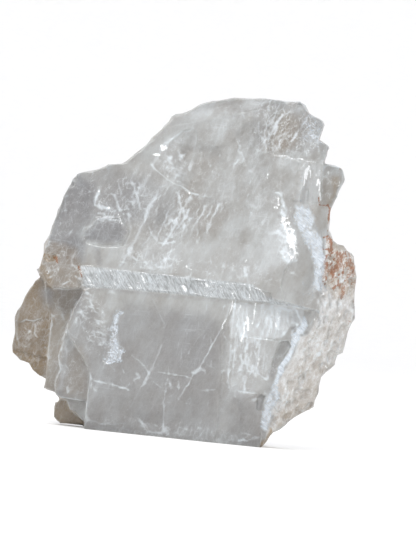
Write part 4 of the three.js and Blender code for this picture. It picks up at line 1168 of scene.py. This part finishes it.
# %% Selenite: ragged masks
ragged_noise = add(tree, "Math", {0: spread_out["grain"], 1: 0.6, 2: 0.0},
                   operation="MULTIPLY_ADD").outputs[0]
ragged_noise = add(tree, "Math", {0: spread_out["blotch"], 1: 0.4, 2: ragged_noise},
                   operation="MULTIPLY_ADD").outputs[0]
mask = {}
for name, least, bite, softness in (
    ("veil", 0.26, 0.3, 0.6), ("glint", 0.3, 0.6, 0.3), ("rust", 0.04, 0.7, 0.4), ("frost", 0.02, 0.9, 0.25),
    ("bruise_and_edge_highlight", 0.1, 1.1, 0.6), ("clay_and_shade", 0.0, 0.15, 0.85), ("grey_and_shade", 0.0, 0.1, 0.9), ("milk", 0.0, 0.25, 0.75),
    ("pit", 0.2, 0.4, 0.5), ("torn", 0.0, 0.0, 1.0), ("ledge", 0.0, 0.2, 0.8), ("back", 0.0, 0.0, 1.0),
):
    channel = add(tree, "Attribute", attribute_name=name)
    start = add(tree, "Math", {0: ragged_noise, 1: bite, 2: least}, operation="MULTIPLY_ADD")
    end = add(tree, "Math", {0: start.outputs[0], 1: softness}, operation="ADD")
    mask[name] = add(tree, "MapRange", {
        "Value": channel.outputs["Fac"], "From Min": start.outputs[0], "From Max": end.outputs[0],
    }).outputs[0]
print("masks:", sorted(mask))

# %% [markdown]
# Cracks too fine to place one by one are a pattern: the borders of a random mosaic, bent a little, and shown
# only in patches. One mosaic has cells of about 7 mm and the other of 3 mm.

# %% Selenite: cobweb of fine cracks
bent = add(tree, "VectorMath", {
    0: noises["blotch"].outputs["Color"], 1: (3 * MM, 3 * MM, 3 * MM), 2: place,
}, operation="MULTIPLY_ADD").outputs[0]
webs = []
for tilt, across, along, line_width, seed_shift in ((20, 5.5, 12, 0.09, 0.0), (24, 2.8, 5.0, 0.13, 5.0)):
    cells = add(tree, "Mapping", {
        "Vector": bent, "Rotation": (0, math.radians(tilt), 0), "Location": (seed_shift, 0, 0),
        "Scale": (across * MM, 9 * MM, along * MM),
    }, vector_type="TEXTURE").outputs["Vector"]
    border = add(tree, "TexVoronoi", {"Vector": cells, "Scale": 1.0}, feature="DISTANCE_TO_EDGE")
    webs.append(add(tree, "MapRange", {
        "Value": border.outputs["Distance"], "From Max": line_width, "To Min": 1.0, "To Max": 0.0,
    }).outputs[0])
patchy = []
for kind, low_end, high_end in (("cloud", 0.5, 0.62), ("blotch", 0.5, 0.62)):
    patchy.append(add(tree, "MapRange", {
        "Value": noises[kind].outputs["Fac"], "From Min": low_end, "From Max": high_end,
    }).outputs[0])
shattered = add(tree, "Attribute", attribute_name="crackle").outputs["Fac"]
shown = [add(tree, "Math", {0: patch, 1: shattered, 2: 0.12}, operation="MULTIPLY_ADD").outputs[0]
         for patch in patchy]
webs = [add(tree, "Math", {0: web, 1: share}, operation="MULTIPLY").outputs[0]
        for web, share in zip(webs, shown)]
mask["web"] = add(tree, "Math", {0: webs[0], 1: webs[1]}, operation="MAXIMUM").outputs[0]
print("mosaics in the cobweb:", len(webs))

# %% [markdown]
# Cleavage also shows as hair-thin straight lines in three directions. They are noise drawn out so far along
# one direction that it turns into lines. Snowy flecks are the highest grains, in the shattered places.

# %% Selenite: straight faint cracks and snowy flecks
families = []
for name in ("steep_crack", "level_crack", "upright_crack"):
    lines = add(tree, "TexNoise", {"Vector": axes[name], "Scale": 1.0, "Detail": 1.5})
    families.append(add(tree, "MapRange", {
        "Value": lines.outputs["Fac"], "From Min": 0.6, "From Max": 0.76,
    }).outputs[0])
crossed = families[0]
for family in families[1:]:
    crossed = add(tree, "Math", {0: crossed, 1: family}, operation="MAXIMUM").outputs[0]
mask["hairlines"] = add(tree, "Math", {0: crossed, 1: patchy[0]}, operation="MULTIPLY").outputs[0]
flecks = add(tree, "MapRange", {"Value": noises["grain"].outputs["Fac"], "From Min": 0.6, "From Max": 0.68})
mask["snow"] = add(tree, "Math", {0: flecks.outputs[0], 1: shown[1]}, operation="MULTIPLY").outputs[0]
print("families of straight lines:", len(families))

# %% [markdown]
# The colour starts as a pale warm grey that drifts from place to place. What lies deepest is laid on first:
# grey patches with painted shade, and milk, then the torn faces and brown stains with more painted shade, the
# fine cracks, frost, and last glints, which are painted highlights, and rust.

# %% Selenite: colour, layer by layer
frost_noise = add(tree, "Math", {0: spread_out["flow"], 1: ragged_noise}, operation="ADD").outputs[0]
frost_noise = add(tree, "Math", {0: frost_noise, 1: 0.5}, operation="MULTIPLY").outputs[0]
torn_noise = add(tree, "Math", {0: spread_out["blotch"], 1: 0.65, 2: 0.0},
                 operation="MULTIPLY_ADD").outputs[0]
torn_noise = add(tree, "Math", {0: spread_out["grain"], 1: 0.35, 2: torn_noise},
                 operation="MULTIPLY_ADD").outputs[0]
tones = {}
for name, pattern, dark, light in (
    ("body", spread_out["cloud"], "#A5A29D", "#C4C8C8"), ("torn", torn_noise, "#B3AEA8", "#DEDFDF"),
    ("ledge", spread_out["splinter"], "#8E9396", "#C6CDD1"), ("frost", frost_noise, "#9DA6AE", "#E0E7EE"),
):
    tones[name] = add(tree, "MixRGB", {
        "Fac": pattern, "Color1": linear(dark), "Color2": linear(light),
    }).outputs["Color"]
mottled = add(tree, "MixRGB", {
    "Fac": spread_out["blotch"], "Color1": linear("#8F8D8A"), "Color2": linear("#EDF1F2"),
}).outputs["Color"]
base_colour = add(tree, "MixRGB", {"Fac": 0.1, "Color1": tones["body"], "Color2": mottled}).outputs["Color"]
for name, amount, hex_colour in (
    ("grey_and_shade", 0.8, "#77767B"), ("milk", 0.7, "#D9DFE2"), ("torn", 0.8, tones["torn"]),
    ("ledge", 0.75, tones["ledge"]), ("clay_and_shade", 0.85, "#8A7048"),
    ("web", 0.7, "#DDE4E8"), ("hairlines", 0.35, "#DDE4E8"), ("snow", 0.85, "#EDF2F5"),
    ("veil", 0.8, "#D8E0E5"),
    ("frost", 0.95, tones["frost"]), ("bruise_and_edge_highlight", 0.4, "#D4DADE"), ("pit", 0.7, "#6F6A66"),
    ("glint", 0.9, "#FBFDFE"), ("rust", 0.84, "#83502B"),
):
    share = add(tree, "Math", {0: mask[name], 1: amount}, operation="MULTIPLY")
    upper = linear(hex_colour) if isinstance(hex_colour, str) else hex_colour
    base_colour = add(tree, "MixRGB", {
        "Fac": share.outputs[0], "Color1": base_colour, "Color2": upper,
    }).outputs["Color"]
print("colours that vary:", sorted(tones))

# %% [markdown]
# Each crack or crust takes away some clearness. The sum, held under 1, sets how much light goes through, how
# rough the face is and how much of a polished coat it has.

# %% Selenite: how clear and how rough
CLEAR = 0.6
cloudiness = 0.0
for name, amount in (("torn", 0.6), ("back", 0.12), ("milk", 0.3), ("clay_and_shade", 0.25), ("web", 0.3),
                     ("hairlines", 0.25), ("snow", 0.4), ("veil", 0.6), ("frost", 0.9), ("bruise_and_edge_highlight", 0.4),
                     ("glint", 1.0), ("rust", 0.6), ("pit", 0.5)):
    cloudiness = add(tree, "Math", {0: mask[name], 1: amount, 2: cloudiness},
                     operation="MULTIPLY_ADD", use_clamp=True).outputs[0]
clearness = add(tree, "MapRange", {"Value": cloudiness, "To Min": CLEAR, "To Max": 0.03})
roughness = add(tree, "MapRange", {"Value": cloudiness, "To Min": 0.3, "To Max": 0.62})
polish = add(tree, "MapRange", {"Value": cloudiness, "To Min": 0.4, "To Max": 0.08})
print("clearness from 0.03 to", CLEAR)

# %% [markdown]
# Two bumps are too low to be worth points: the striae, fine level lines on the cleavage, and the grit of the
# broken places. Light that goes in is lost slowly, and blue a little faster, which warms the thick parts.

# %% Selenite: fine bump
fine = add(tree, "TexNoise", {"Vector": axes["striae"], "Scale": 1.0, "Detail": 2.0})
striae_bump = add(tree, "Bump", {"Height": fine.outputs["Fac"], "Strength": 0.25, "Distance": 0.00012})
grit_height = add(tree, "Math", {0: ragged_noise, 1: cloudiness}, operation="MULTIPLY")
grit_bump = add(tree, "Bump", {
    "Height": grit_height.outputs[0], "Normal": striae_bump.outputs["Normal"],
    "Strength": 0.4, "Distance": 0.0005,
})
surface = add(tree, "BsdfPrincipled", {
    "Base Color": base_colour, "Roughness": roughness.outputs[0], "IOR": 1.522,
    "Transmission Weight": clearness.outputs[0], "Coat Weight": polish.outputs[0], "Coat Roughness": 0.08,
    "Normal": grit_bump.outputs["Normal"],
})
inside = add(tree, "VolumeAbsorption", {"Color": linear("#E6DFD6"), "Density": 14.0})
add(tree, "OutputMaterial", {"Surface": surface.outputs["BSDF"], "Volume": inside.outputs["Volume"]})
crystal.data.materials.append(selenite)
print("selenite has", len(tree.nodes), "nodes")

# %% [markdown]
# Last, the piece takes the place of the measured solid and rides on the slab's one body.

# %% Join the piece to the frame
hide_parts(NODE)
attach(crystal, "root")
print(crystal.name, "stands for", NODE)
